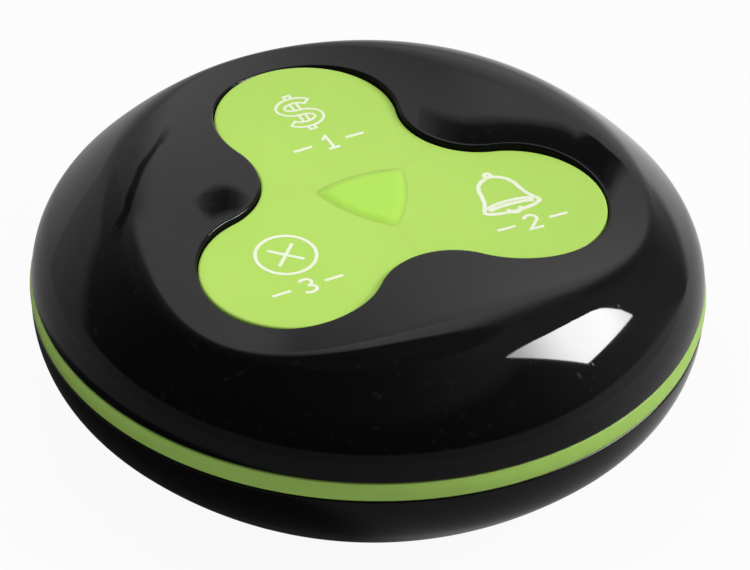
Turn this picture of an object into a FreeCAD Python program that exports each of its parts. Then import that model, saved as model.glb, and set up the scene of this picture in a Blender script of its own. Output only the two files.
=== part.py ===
import FreeCAD, Part
import math
import os
import Sketcher
from FreeCAD import Vector

# A waiter call button: a glossy round case of two shells and a trim ring, with a soft cloverleaf keypad
# of three keys on top. Millimetres, +Z up, the origin on the table under the middle of the case.
# The bill key points to +Y; the other two keys follow at 120 degree steps, with notches between them.

doc = FreeCAD.newDocument("waiter_call_button")
dim = doc.addObject("Spreadsheet::Sheet", "dim")
place = doc.addObject("Spreadsheet::Sheet", "place")

LOBE_ANGLES = {name: 90 + 120 * index for index, name in enumerate(("bill", "cancel", "call"))}
NOTCH_ANGLES = tuple(angle - 60 for angle in LOBE_ANGLES.values())
LUG_ANGLES = NOTCH_ANGLES

SIZES = {
    # case
    "body_radius": 43.0,
    "waist_height": 18.4,
    "ring_height": 2.8,
    "ring_bulge": 0.2,
    "dome_radius": 52.9,
    "dome_side_round": 8.8,
    "bowl_radius": 54.0,
    "bowl_side_round": 12.0,
    "wall": 2.0,
    "tongue_rise": 1.2,
    "tongue_wall": 1.2,
    "tongue_gap": 0.3,
    "foot_rise": 0.8,
    # dished top
    "dish_depth": 11.75,
    "dish_saddle": 3.6,
    "ridge_round": 4.0,
    "rim_round": 0.4,
    "roof_thick": 3.7,
    # keypad
    "lobe_margin": 12.7,
    "lobe_radius": 11.9,
    "notch_radius": 9.8,
    "key_gap": 0.25,
    "keypad_sink": 0.75,
    "crown_radius": 650.0,
    "key_edge_round": 0.45,
    "flange_width": 1.5,
    "flange_thick": 1.0,
    "flange_gap": 0.1,
    "key_float": 0.3,
    "split_gap": 0.2,
    "window_side": 5.2,
    "window_bow": 20.0,
    "window_rise": 1.15,
    "window_draft": 48.0,
    "window_round": 0.6,
    "window_seat": 0.3,
    "window_depth": 2.6,
    "window_wall": 1.9,
    "nub_radius": 1.5,
    "nub_gap": 0.1,
    # keypad support and circuit board
    "support_thick": 1.6,
    "support_hub": 8.0,
    "support_arm": 6.0,
    "support_eye": 4.0,
    "support_light_hole": 3.0,
    "board_gap": 0.4,
    "board_thick": 1.6,
    "support_leg": 4.8,
    "board_screw_inset": 1.95,
    "board_boss_radius": 3.0,
    "board_screw_radius": 1.0,
    "board_head_radius": 2.0,
    "board_head_height": 1.4,
    "board_screw_bite": 3.2,
    # key switches
    "switch_side": 6.0,
    "switch_height": 3.5,
    "stem_radius": 1.75,
    "stem_rise": 0.8,
    "stem_depth": 1.6,
    "stem_travel": 0.3,
    "stem_gap": 0.15,
    # case screws
    "case_screw_offset": 7.07,
    "case_boss_radius": 3.0,
    "case_post_radius": 4.2,
    "case_screw_radius": 1.3,
    "case_head_radius": 2.5,
    "case_head_height": 1.8,
    "case_head_gap": 0.4,
    "case_seat_height": 9.0,
    "case_screw_bite": 5.0,
    "screw_gap": 0.05,
    # battery bay and door
    "cell_radius": 10.0,
    "cell_thick": 3.2,
    "cell_cap_radius": 8.6,
    "cell_cap_rise": 0.3,
    "cell_gap": 0.4,
    "door_radius": 14.0,
    "door_gap": 0.25,
    "door_thick": 1.8,
    "plug_radius": 11.5,
    "plug_rise": 2.8,
    "plug_cup_radius": 9.0,
    "plug_cup_depth": 1.4,
    "seal_groove_depth": 0.9,
    "seal_groove_width": 1.1,
    "seal_groove_rise": 0.15,
    "seal_thick": 0.9,
    "ledge_thick": 1.5,
    "lug_reach": 1.4,
    "lug_width": 5.0,
    "lug_gap": 0.3,
    "lug_turn": 30.0,
    "lug_stop_width": 2.0,
    "coin_slot_length": 17.0,
    "coin_slot_width": 1.8,
    "coin_slot_depth": 1.0,
    "spring_space": 1.6,
    "bay_wall": 1.6,
    # contacts and leads
    "contact_thick": 0.3,
    "contact_width": 4.0,
    "contact_length": 12.0,
    "side_contact_drop": 2.0,
    "side_contact_recess": 1.2,
    "lead_radius": 0.6,
    "lead_spread": 6.0,
    # feet
    "foot_inset": 18.5,
    "foot_radius": 4.0,
    "foot_recess": 0.4,
    "foot_gap": 0.1,
    # board parts
    "led_side": 3.5,
    "led_height": 1.9,
    "chip_length": 10.0,
    "chip_width": 6.0,
    "chip_height": 1.6,
    "chip_gap": 5.0,
    "can_radius": 4.0,
    "can_height": 3.4,
    "can_gap": 2.0,
    "chip_part_length": 2.0,
    "chip_part_width": 1.25,
    "chip_part_height": 0.9,
    "chip_part_step": 2.6,
    "chip_part_gap": 2.5,
}

# Heights and places that follow from the sizes.
PLACES = {
    "ring_bottom": "dim.waist_height - dim.ring_height / 2",
    "ring_top": "dim.waist_height + dim.ring_height / 2",
    "dome_side": "dim.body_radius - dim.dome_side_round",
    "dome_span": "dim.dome_radius - dim.dome_side_round",
    "dome_rise": "sqrt(dome_span ^ 2 - dome_side ^ 2)",
    "dome_centre": "ring_top - dome_rise",
    "bowl_side": "dim.body_radius - dim.bowl_side_round",
    "bowl_span": "dim.bowl_radius - dim.bowl_side_round",
    "bowl_rise": "sqrt(bowl_span ^ 2 - bowl_side ^ 2)",
    "bowl_centre": "ring_bottom + bowl_rise",
    "dish_height": "dome_centre + dim.dome_radius - dim.dish_depth",
    "ceiling": "dish_height - dim.roof_thick",
    "crown_height": "dish_height - dim.keypad_sink",
    "tongue_radius": "dim.body_radius - dim.wall - dim.tongue_gap",
    "tongue_inside": "tongue_radius - dim.tongue_wall",
    "tongue_top": "ring_top + dim.tongue_rise",
    "floor": "dim.foot_rise + dim.wall",
    "lobe_distance": "dim.body_radius - dim.lobe_margin - dim.lobe_radius",
    "notch_root": "4 * (dim.lobe_radius + dim.notch_radius) ^ 2 - 3 * lobe_distance ^ 2",
    "notch_distance": "(lobe_distance + sqrt(notch_root)) / 2",
    "neck": "(notch_distance - dim.notch_radius) / 2",
    "window_bow_centre": "dim.window_bow - dim.window_side",
    "window_root": "4 * dim.window_bow ^ 2 - 3 * window_bow_centre ^ 2",
    "window_corner": "(sqrt(window_root) - window_bow_centre) / 2",
    "board_screw_circle": "notch_distance - dim.board_screw_inset",
    "case_screw_circle": "notch_distance + dim.case_screw_offset",
    "board_radius": "case_screw_circle - dim.case_post_radius - dim.board_gap",
    "board_space": "board_screw_circle - dim.board_boss_radius",
    "chip_place": "board_space - dim.chip_gap - dim.chip_width / 2",
    "can_place": "board_space - dim.can_gap - dim.can_radius",
    "chip_part_end": "board_space - dim.chip_part_gap",
    "foot_circle": "dim.body_radius - dim.foot_inset",
    "flange_top": "ceiling - dim.flange_gap",
    "key_bottom": "flange_top - dim.flange_thick",
    "support_top": "key_bottom - dim.key_float",
    "support_bottom": "support_top - dim.support_thick",
    "board_top": "support_bottom - dim.support_leg",
    "switch_top": "board_top + dim.switch_height",
    "stem_top": "switch_top + dim.stem_rise",
    "board_bottom": "board_top - dim.board_thick",
    "door_top": "dim.foot_rise + dim.door_thick",
    "plug_top": "door_top + dim.plug_rise",
    "ledge_top": "door_top + dim.ledge_thick",
    "bore_radius": "dim.plug_radius + dim.door_gap",
    "channel_radius": "dim.plug_radius + dim.lug_reach + dim.lug_gap",
    "lug_stop_reach": "dim.lug_width / 2 + dim.lug_gap + dim.lug_stop_width / 2",
    "lug_stop_turn": "asin(lug_stop_reach / dim.plug_radius) / 1 deg",
    "cell_top": "plug_top + dim.cell_thick",
    "bay_roof": "cell_top + dim.spring_space",
    "bay_radius": "channel_radius + dim.bay_wall",
    "bay_top": "bay_roof + dim.bay_wall",
}


def fill_sheet(sheet, entries, prefix):
    """One row per entry: its name in column A, its value in column B under that name."""
    for row, (alias, content) in enumerate(entries.items(), start=1):
        sheet.set(f"A{row}", alias)
        sheet.set(f"B{row}", f"{prefix}{content}")
        sheet.setAlias(f"B{row}", alias)


fill_sheet(dim, SIZES, "")
doc.recompute()
fill_sheet(place, PLACES, "=")
doc.recompute()


def number(expression):
    """The present value of an expression over the sheets."""
    return float(dim.evalExpression(str(expression)))


def bind(thing, **expressions):
    """Binds properties to expressions, with __ in a keyword standing for a dot."""
    for keyword, expression in expressions.items():
        thing.setExpression(keyword.replace("__", "."), str(expression))


def polar(radius, angle):
    """X and Y expressions of a point at a radius and an angle in degrees."""
    return f"({radius}) * cos({angle})", f"({radius}) * sin({angle})"


def turned_point(x, y, angle):
    """X and Y expressions of the point x, y turned about Z."""
    across = f"({x}) * cos({angle}) - ({y}) * sin({angle})"
    along = f"({x}) * sin({angle}) + ({y}) * cos({angle})"
    return across, along


# ---------------------------------------------------------------- sketches and features

def new_sketch(body, name, plane, height=None):
    sketch = body.newObject("Sketcher::SketchObject", name)
    base = next(item for item in body.Origin.OriginFeatures if item.Role == plane)
    sketch.AttachmentSupport = (base, [""])
    sketch.MapMode = "FlatFace"
    if height is not None:
        sketch.setExpression("AttachmentOffset.Base.z", str(height))
    return sketch


def pin(sketch, curve, point, x, y):
    """Holds a point of a curve at expressions for its two coordinates."""
    for kind, expression in (("DistanceX", x), ("DistanceY", y)):
        index = sketch.addConstraint(
            Sketcher.Constraint(kind, -1, 1, curve, point, number(expression)))
        sketch.setExpression(f"Constraints[{index}]", str(expression))


def size_radius(sketch, curve, expression):
    index = sketch.addConstraint(Sketcher.Constraint("Radius", curve, number(expression)))
    sketch.setExpression(f"Constraints[{index}]", str(expression))


def arc_through(start, end, centre):
    """The shorter arc from start to end about centre, and the indices of its two ends."""
    first = math.atan2(start.y - centre.y, start.x - centre.x)
    last = math.atan2(end.y - centre.y, end.x - centre.x)
    turn = (last - first) % (2 * math.pi)
    circle = Part.Circle(centre, Vector(0, 0, 1), (start - centre).Length)
    if turn <= math.pi:
        return Part.ArcOfCircle(circle, first, first + turn), 1, 2
    return Part.ArcOfCircle(circle, last, last + 2 * math.pi - turn), 2, 1


def outline(sketch, corners):
    """A closed outline. A corner is (x, y), or (x, y, radius, centre_x, centre_y) where an arc leads on."""
    points = [Vector(number(corner[0]), number(corner[1]), 0) for corner in corners]
    ends = []
    for index, corner in enumerate(corners):
        start = points[index]
        end = points[(index + 1) % len(corners)]
        if len(corner) == 2:
            curve = sketch.addGeometry(Part.LineSegment(start, end), False)
            ends.append((curve, 1, 2))
        else:
            centre = Vector(number(corner[3]), number(corner[4]), 0)
            arc, first, last = arc_through(start, end, centre)
            curve = sketch.addGeometry(arc, False)
            ends.append((curve, first, last))
    for index, corner in enumerate(corners):
        curve, first, last = ends[index]
        follower, follower_first, _ = ends[(index + 1) % len(corners)]
        pin(sketch, curve, first, corner[0], corner[1])
        sketch.addConstraint(Sketcher.Constraint("Coincident", curve, last, follower, follower_first))
    for (curve, _, _), corner in zip(ends, corners):
        if len(corner) > 2:
            size_radius(sketch, curve, corner[2])


def clover(sketch, growth):
    """Three round lobes joined by three round notches, grown outwards by growth."""
    lobe_size = f"dim.lobe_radius + ({growth})"
    notch_size = f"dim.notch_radius - ({growth})"
    lobes = []
    notches = []
    for angle in LOBE_ANGLES.values():
        spot = [number(item) for item in polar("place.lobe_distance", angle)]
        centre = Vector(spot[0], spot[1], 0)
        toward = [number(item) for item in polar("place.notch_distance", angle - 60)]
        start = math.atan2(toward[1] - centre.y, toward[0] - centre.x)
        reach = 2 * (math.radians(angle) - start)
        reach = reach % (2 * math.pi)
        circle = Part.Circle(centre, Vector(0, 0, 1), number(lobe_size))
        curve = sketch.addGeometry(Part.ArcOfCircle(circle, start, start + reach), False)
        lobes.append(curve)
    for angle in LOBE_ANGLES.values():
        spot = [number(item) for item in polar("place.notch_distance", angle + 60)]
        centre = Vector(spot[0], spot[1], 0)
        toward = [number(item) for item in polar("place.lobe_distance", angle + 120)]
        start = math.atan2(toward[1] - centre.y, toward[0] - centre.x)
        reach = 2 * (math.radians(angle + 60) + math.pi - start)
        reach = reach % (2 * math.pi)
        circle = Part.Circle(centre, Vector(0, 0, 1), number(notch_size))
        curve = sketch.addGeometry(Part.ArcOfCircle(circle, start, start + reach), False)
        notches.append(curve)
    for index, angle in enumerate(LOBE_ANGLES.values()):
        lobe = lobes[index]
        follower = lobes[(index + 1) % len(lobes)]
        sketch.addConstraint(Sketcher.Constraint("Tangent", lobe, 2, notches[index], 2))
        sketch.addConstraint(Sketcher.Constraint("Tangent", notches[index], 1, follower, 1))
        pin(sketch, lobe, 3, *polar("place.lobe_distance", angle))
        size_radius(sketch, lobe, lobe_size)
        size_radius(sketch, notches[index], notch_size)


def circles(sketch, radius, spots):
    for x, y in spots:
        centre = Vector(number(x), number(y), 0)
        curve = sketch.addGeometry(Part.Circle(centre, Vector(0, 0, 1), number(radius)), False)
        pin(sketch, curve, 3, x, y)
        size_radius(sketch, curve, radius)


def pad(body, sketch, length, down=False):
    feature = body.newObject("PartDesign::Pad", f"{sketch.Name}_pad")
    feature.Profile = sketch
    feature.Reversed = down
    bind(feature, Length=length)
    return feature


def pocket(body, sketch, length, up=False):
    feature = body.newObject("PartDesign::Pocket", f"{sketch.Name}_pocket")
    feature.Profile = sketch
    feature.Reversed = up
    bind(feature, Length=length)
    return feature


def turn(body, name, corners, kind="PartDesign::Revolution"):
    sketch = new_sketch(body, name, "XZ_Plane")
    outline(sketch, corners)
    feature = body.newObject(kind, f"{name}_turn")
    feature.Profile = sketch
    feature.ReferenceAxis = (sketch, ["V_Axis"])
    feature.Angle = 360
    return feature


def new_body(name):
    return doc.addObject("PartDesign::Body", name)


def cylinder(name, radius, bottom, top, x="0", y="0"):
    part = doc.addObject("Part::Cylinder", name)
    bind(part, Radius=radius, Height=f"({top}) - ({bottom})")
    bind(part, Placement__Base__x=x, Placement__Base__y=y, Placement__Base__z=bottom)
    return part


def block(name, start, end, width, bottom, top, angle):
    """A box from start to end along a direction at angle from +X, centred across it."""
    part = doc.addObject("Part::Box", name)
    x, y = turned_point(start, f"-({width}) / 2", angle)
    bind(part, Length=f"({end}) - ({start})", Width=width, Height=f"({top}) - ({bottom})")
    bind(part, Placement__Base__x=x, Placement__Base__y=y, Placement__Base__z=bottom)
    bind(part, Placement__Rotation__Angle=angle)
    return part


def fuse(name, parts):
    result = doc.addObject("Part::MultiFuse", name)
    result.Shapes = parts
    return result


def group(name, parts):
    result = doc.addObject("Part::Compound", name)
    result.Links = parts
    return result


def cut(name, base, tool):
    result = doc.addObject("Part::Cut", name)
    result.Base = base
    result.Tool = tool
    return result


def common(name, first, second):
    result = doc.addObject("Part::MultiCommon", name)
    result.Shapes = [first, second]
    return result


def three(name, radius, bottom, top, circle, angles=NOTCH_ANGLES):
    """Three equal cylinders on a circle, as one tool."""
    parts = []
    for angle in angles:
        x, y = polar(circle, angle)
        parts.append(cylinder(f"{name}_{len(parts) + 1}", radius, bottom, top, x, y))
    return group(name, parts)


# ---------------------------------------------------------------- top shell
# Tools that cut run 1 mm past the faces that they open.

def cap_corners(side, span, rise, sphere, middle, wall, sign):
    """Where the side round meets the big arc, a wall further in."""
    scale = f"(({sphere}) - ({wall})) / ({span})"
    return f"({side}) * {scale}", f"({middle}) {sign} ({rise}) * {scale}"


def dome_join(wall):
    return cap_corners("place.dome_side", "place.dome_span", "place.dome_rise", "dim.dome_radius",
                       "place.dome_centre", wall, "+")


def bowl_join(wall):
    return cap_corners("place.bowl_side", "place.bowl_span", "place.bowl_rise", "dim.bowl_radius",
                       "place.bowl_centre", wall, "-")


def make_dome():
    """The outer form of the top shell: a tight side round that runs into a wide spherical cap."""
    dome = new_body("dome")
    join_x, join_z = dome_join("0")
    turn(dome, "dome_section", (
        ("0", "place.ring_top"),
        ("dim.body_radius", "place.ring_top", "dim.dome_side_round", "place.dome_side", "place.ring_top"),
        (join_x, join_z, "dim.dome_radius", "0", "place.dome_centre"),
        ("0", "place.dome_centre + dim.dome_radius"),
    ))
    return dome


def make_dish():
    """The space over the dished top. Its floor is a three-fold saddle, low along the lobes and high
    between them: z = dish_height - dish_saddle * (y^3 - 3 x^2 y) / body_radius^3, one exact cubic patch."""
    reach = number("dim.body_radius * 1.2")
    drop = number("dim.dish_saddle / dim.body_radius ^ 3")
    steps = (-reach, -reach / 3, reach / 3, reach)
    squares = (reach ** 2, -reach ** 2 / 3, -reach ** 2 / 3, reach ** 2)
    cubes = (-reach ** 3, reach ** 3, -reach ** 3, reach ** 3)
    floor = Part.BezierSurface()
    floor.increase(3, 3)
    for i in range(4):
        for j in range(4):
            height = number("place.dish_height") - drop * (cubes[j] - 3 * squares[i] * steps[j])
            floor.setPole(i + 1, j + 1, Vector(steps[i], steps[j], height))
    dish = doc.addObject("Part::Feature", "dish")
    dish.Shape = floor.toShape().extrude(Vector(0, 0, number("dim.body_radius")))
    return dish


def dish_floor_height(point):
    drop = number("dim.dish_saddle / dim.body_radius ^ 3")
    return number("place.dish_height") - drop * (point.y ** 3 - 3 * point.x ** 2 * point.y)


def edges_on(shape, height_at, inner, outer):
    """Indices of the edges that lie at the height that height_at gives, between two radii."""
    found = []
    for index, edge in enumerate(shape.Edges, start=1):
        samples = [edge.valueAt(edge.FirstParameter + share * (edge.LastParameter - edge.FirstParameter))
                   for share in (0.1, 0.4, 0.7)]
        on_face = all(abs(point.z - height_at(point)) < 1e-3 for point in samples)
        between = all(inner <= math.hypot(point.x, point.y) <= outer for point in samples)
        if on_face and between:
            found.append(index)
    return found


def rounded(name, base, indices, radius):
    result = doc.addObject("Part::Fillet", name)
    result.Base = base
    result.Edges = [(index, radius, radius) for index in indices]
    return result


def make_top_shell():
    dished = cut("dished_dome", make_dome(), make_dish())
    doc.recompute()
    ridge = edges_on(dished.Shape, dish_floor_height, 0, number("dim.body_radius"))
    smooth = rounded("smooth_dome", dished, ridge, number("dim.ridge_round"))
    hollow = new_body("dome_hollow")
    join_x, join_z = dome_join("dim.wall")
    ceiling_x = "sqrt((dim.dome_radius - dim.wall) ^ 2 - (place.ceiling - place.dome_centre) ^ 2)"
    turn(hollow, "dome_hollow_section", (
        ("0", "place.ring_top"),
        ("dim.body_radius - dim.wall", "place.ring_top", "dim.dome_side_round - dim.wall",
         "place.dome_side", "place.ring_top"),
        (join_x, join_z, "dim.dome_radius - dim.wall", "0", "place.dome_centre"),
        (ceiling_x, "place.ceiling"),
        ("0", "place.ceiling"),
    ))
    case_bosses = three("case_bosses", "dim.case_boss_radius", "place.tongue_top",
                        "place.ceiling + dim.wall", "place.case_screw_circle")
    board_bosses = three("board_bosses", "dim.board_boss_radius", "place.support_top",
                         "place.ceiling + dim.wall", "place.board_screw_circle")
    cavity = cut("dome_cavity", hollow, group("bosses", [case_bosses, board_bosses]))
    opening = new_body("key_opening")
    sketch = new_sketch(opening, "key_opening_outline", "XY_Plane", "place.ceiling - 1")
    clover(sketch, "0")
    pad(opening, sketch, "place.dish_height + dim.dish_saddle - place.ceiling")
    case_pilots = three("case_pilots", "dim.case_screw_radius + dim.screw_gap", "place.tongue_top - 1",
                        "place.tongue_top + dim.case_screw_bite + 1", "place.case_screw_circle")
    board_pilots = three("board_pilots", "dim.board_screw_radius + dim.screw_gap", "place.support_top - 1",
                         "place.support_top + dim.board_screw_bite + 0.3", "place.board_screw_circle")
    tools = group("top_shell_tools", [cavity, opening, case_pilots, board_pilots])
    shell = cut("hollow_top", smooth, tools)
    doc.recompute()
    rim_reach = number("place.lobe_distance + dim.lobe_radius") + 0.1
    rim = edges_on(shell.Shape, dish_floor_height, 0, rim_reach)
    return rounded("top_shell", shell, rim, number("dim.rim_round"))


# ---------------------------------------------------------------- trim ring and base shell

def make_trim_ring():
    """A lime band around the waist, clamped between the shells, with a lightly bulged outer face."""
    ring = new_body("trim_ring")
    bulge = "(dim.ring_height ^ 2 / 4 + dim.ring_bulge ^ 2) / (2 * dim.ring_bulge)"
    turn(ring, "ring_section", (
        ("dim.body_radius - dim.wall", "place.ring_bottom"),
        ("dim.body_radius", "place.ring_bottom", bulge,
         f"dim.body_radius + dim.ring_bulge - {bulge}", "dim.waist_height"),
        ("dim.body_radius", "place.ring_top"),
        ("dim.body_radius - dim.wall", "place.ring_top"),
    ))
    return ring


def make_lug_channel():
    """The ring space that the lugs of the door turn in, with a stop at either end of their travel."""
    top = "place.plug_top + dim.lug_gap"
    space = cylinder("lug_space", "place.channel_radius", "place.ledge_top", top)
    stops = []
    for angle in LUG_ANGLES:
        for stop_angle in (f"{angle} - place.lug_stop_turn",
                           f"{angle} + dim.lug_turn + place.lug_stop_turn"):
            stops.append(block(f"lug_stop_{len(stops) + 1}", "place.bore_radius",
                               "place.channel_radius + 1", "dim.lug_stop_width", "place.ledge_top", top,
                               f"({stop_angle})"))
    return cut("lug_channel", space, group("lug_stops", stops))


def make_base_shell():
    """The bowl under the waist, with its locating tongue, screw posts and the battery bay."""
    bowl = new_body("bowl")
    join_x, join_z = bowl_join("0")
    flat_x = "sqrt(dim.bowl_radius ^ 2 - (place.bowl_centre - dim.foot_rise) ^ 2)"
    turn(bowl, "bowl_section", (
        ("0", "dim.foot_rise"),
        (flat_x, "dim.foot_rise", "dim.bowl_radius", "0", "place.bowl_centre"),
        (join_x, join_z, "dim.bowl_side_round", "place.bowl_side", "place.ring_bottom"),
        ("dim.body_radius", "place.ring_bottom"),
        ("place.tongue_radius", "place.ring_bottom"),
        ("place.tongue_radius", "place.tongue_top"),
        ("0", "place.tongue_top"),
    ))
    hollow = new_body("bowl_hollow")
    join_x, join_z = bowl_join("dim.wall")
    floor_x = "sqrt((dim.bowl_radius - dim.wall) ^ 2 - (place.bowl_centre - place.floor) ^ 2)"
    side = "(dim.bowl_side_round - dim.wall)"
    lip_z = f"place.ring_bottom - sqrt({side} ^ 2 - (place.tongue_inside - place.bowl_side) ^ 2)"
    turn(hollow, "bowl_hollow_section", (
        ("0", "place.floor"),
        (floor_x, "place.floor", "dim.bowl_radius - dim.wall", "0", "place.bowl_centre"),
        (join_x, join_z, side, "place.bowl_side", "place.ring_bottom"),
        ("place.tongue_inside", lip_z),
        ("place.tongue_inside", "place.tongue_top"),
        ("0", "place.tongue_top"),
    ))
    posts = three("case_posts", "dim.case_post_radius", "0", "place.tongue_top + 1",
                  "place.case_screw_circle")
    bay = cylinder("battery_bay", "place.bay_radius", "0", "place.bay_top")
    cavity = cut("bowl_cavity", hollow, group("base_solids", [posts, bay]))
    tools = [cavity]
    tools.append(three("head_bores", "dim.case_head_radius + dim.case_head_gap", "0",
                       "dim.case_seat_height", "place.case_screw_circle"))
    tools.append(three("shank_bores", "dim.case_screw_radius + dim.screw_gap", "0",
                       "place.tongue_top + 1", "place.case_screw_circle"))
    tools.append(three("foot_recesses", "dim.foot_radius + dim.foot_gap", "0",
                       "dim.foot_rise + dim.foot_recess", "place.foot_circle", LOBE_ANGLES.values()))
    tools.append(cylinder("door_recess", "dim.door_radius + dim.door_gap", "0", "place.door_top"))
    tools.append(cylinder("door_bore", "place.bore_radius", "0", "place.ledge_top"))
    tools.append(make_lug_channel())
    tools.append(cylinder("cell_pocket", "dim.cell_radius + dim.cell_gap", "place.ledge_top",
                          "place.bay_roof"))
    for index, angle in enumerate(LUG_ANGLES, start=1):
        tools.append(block(f"lug_entry_{index}", "0", "place.channel_radius - 0.05",
                           "dim.lug_width + 2 * dim.lug_gap", "dim.foot_rise", "place.ledge_top",
                           f"({angle} + dim.lug_turn)"))
    tools.append(block("side_contact_slot", "0",
                       "dim.cell_radius + dim.cell_gap + dim.side_contact_recess",
                       "dim.contact_width + 2 * dim.cell_gap", "place.plug_top", "place.bay_roof", "0"))
    for index, side_sign in enumerate(("", "-"), start=1):
        tools.append(cylinder(f"lead_hole_{index}", "dim.lead_radius + dim.screw_gap", "place.bay_roof - 1",
                              "place.bay_top + 1", f"{side_sign}dim.lead_spread", "0"))
    return cut("base_shell", bowl, group("base_shell_tools", tools))


# ---------------------------------------------------------------- keypad

def crown_height_at(point):
    radius = number("dim.crown_radius")
    return number("place.crown_height") - radius + math.sqrt(radius ** 2 - point.x ** 2 - point.y ** 2)


def make_mat():
    """The whole soft moulding before it is parted: a crowned cloverleaf on a wider thin flange."""
    mat = new_body("keypad_mat")
    flange = new_sketch(mat, "flange_outline", "XY_Plane", "place.support_top")
    clover(flange, "dim.flange_width")
    pad(mat, flange, "place.flange_top - place.support_top")
    face = new_sketch(mat, "face_outline", "XY_Plane", "place.support_top")
    clover(face, "-dim.key_gap")
    pad(mat, face, "place.crown_height + 1 - place.support_top")
    far = "dim.body_radius"
    fall = f"dim.crown_radius - sqrt(dim.crown_radius ^ 2 - {far} ^ 2)"
    turn(mat, "crown_section", (
        ("0", "place.crown_height", "dim.crown_radius", "0", "place.crown_height - dim.crown_radius"),
        (far, f"place.crown_height - ({fall})"),
        (far, "place.crown_height + 2"),
        ("0", "place.crown_height + 2"),
    ), "PartDesign::Groove")
    doc.recompute()
    rim = edges_on(mat.Shape, crown_height_at, number("place.neck"), number("dim.body_radius"))
    return rounded("soft_mat", mat, rim, number("dim.key_edge_round"))


def make_key(name, angle, mat):
    """One lobe beyond its neck, with the nub that presses the switch below it."""
    zone = new_body(f"{name}_zone")
    sketch = new_sketch(zone, f"{name}_zone_outline", "XY_Plane", "place.key_bottom")
    near = "(place.neck + dim.split_gap)"
    far = "dim.body_radius"
    side = f"({near} * tan(60) - dim.split_gap)"
    far_side = f"({far} * tan(60) - dim.split_gap)"
    outline(sketch, (
        turned_point(near, f"-{side}", angle),
        turned_point(far, f"-{far_side}", angle),
        turned_point(far, far_side, angle),
        turned_point(near, side, angle),
    ))
    pad(zone, sketch, "dim.body_radius")
    x, y = polar("place.lobe_distance", angle)
    nub = cylinder(f"{name}_nub", "dim.nub_radius", "place.stem_top + dim.nub_gap",
                   "place.key_bottom + 0.5", x, y)
    return fuse(f"{name}_key", [common(f"{name}_lobe", mat, zone), nub])


def make_window():
    """The raised light window: a triangle with bowed sloping sides and softened corners and edges."""
    window = new_body("window")
    outer = new_sketch(window, "window_outline", "XY_Plane", "place.crown_height - dim.window_seat")
    corners = []
    for angle in NOTCH_ANGLES:
        x, y = polar("place.window_corner", angle)
        centre_x, centre_y = polar("-place.window_bow_centre", angle + 60)
        corners.append((x, y, "dim.window_bow", centre_x, centre_y))
    outline(outer, corners)
    raised = pad(window, outer, "dim.window_rise + dim.window_seat")
    bind(raised, TaperAngle="-dim.window_draft")
    doc.recompute()
    top = number("place.crown_height + dim.window_rise")
    soft = [index for index, edge in enumerate(window.Shape.Edges, start=1)
            if any(abs(vertex.Z - top) < 1e-3 for vertex in edge.Vertexes)]
    return rounded("soft_window", window, soft, number("dim.window_round"))


def make_keypad_hub(mat):
    """The still middle of the keypad between the three necks, with the raised triangular light window."""
    zone = new_body("hub_zone")
    sketch = new_sketch(zone, "hub_zone_outline", "XY_Plane", "place.support_top")
    outline(sketch, [polar("2 * place.neck", angle) for angle in NOTCH_ANGLES])
    pad(zone, sketch, "dim.body_radius")
    window = make_window()
    hollow = new_body("window_hollow")
    inner = new_sketch(hollow, "window_hollow_outline", "XY_Plane", "place.support_top - 1")
    outline(inner, [polar("place.window_corner - 2 * dim.window_wall", angle) for angle in NOTCH_ANGLES])
    pad(hollow, inner, "dim.window_depth + 1")
    hub = fuse("solid_hub", [common("hub_middle", mat, zone), window])
    return cut("keypad_hub", hub, hollow)


def make_keypad_support():
    """A three-armed plate screwed under the top shell. It carries the hub and holds the board off."""
    parts = [cylinder("support_hub", "dim.support_hub", "place.support_bottom", "place.support_top")]
    for index, angle in enumerate(NOTCH_ANGLES, start=1):
        parts.append(block(f"support_arm_{index}", "0", "place.board_screw_circle", "dim.support_arm",
                           "place.support_bottom", "place.support_top", angle))
    parts.extend(three("support_eyes", "dim.support_eye", "place.support_bottom", "place.support_top",
                       "place.board_screw_circle").Links)
    parts.extend(three("support_legs", "dim.board_boss_radius", "place.board_top", "place.support_bottom",
                       "place.board_screw_circle").Links)
    solid = fuse("support_solid", parts)
    light_hole = cylinder("light_hole", "dim.support_light_hole", "place.support_bottom - 1",
                          "place.support_top + 1")
    screw_holes = three("support_holes", "dim.board_screw_radius + dim.screw_gap", "place.board_top - 1",
                        "place.support_top + 1", "place.board_screw_circle")
    return cut("keypad_support", solid, group("support_tools", [light_hole, screw_holes]))


# ---------------------------------------------------------------- circuit board and what it carries

def make_circuit_board():
    board = new_body("circuit_board")
    disc = new_sketch(board, "board_outline", "XY_Plane", "place.board_bottom")
    circles(disc, "place.board_radius", [("0", "0")])
    pad(board, disc, "dim.board_thick")
    holes = new_sketch(board, "board_holes", "XY_Plane", "place.board_bottom")
    circles(holes, "dim.board_screw_radius + dim.screw_gap",
            [polar("place.board_screw_circle", angle) for angle in NOTCH_ANGLES])
    pocket(board, holes, "dim.board_thick", up=True)
    return board


def make_switch(name, angle):
    """A tact switch housing with a round well for its stem."""
    housing = block(f"{name}_housing", "place.lobe_distance - dim.switch_side / 2",
                    "place.lobe_distance + dim.switch_side / 2", "dim.switch_side",
                    "place.board_top", "place.switch_top", angle)
    x, y = polar("place.lobe_distance", angle)
    well = cylinder(f"{name}_well", "dim.stem_radius + dim.stem_gap",
                    "place.switch_top - dim.stem_depth - dim.stem_travel - dim.stem_gap",
                    "place.switch_top + 1", x, y)
    return cut(f"{name}_switch", housing, well)


def make_stem(name, angle):
    x, y = polar("place.lobe_distance", angle)
    return cylinder(f"{name}_switch_stem", "dim.stem_radius", "place.switch_top - dim.stem_depth",
                    "place.stem_top", x, y)


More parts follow.
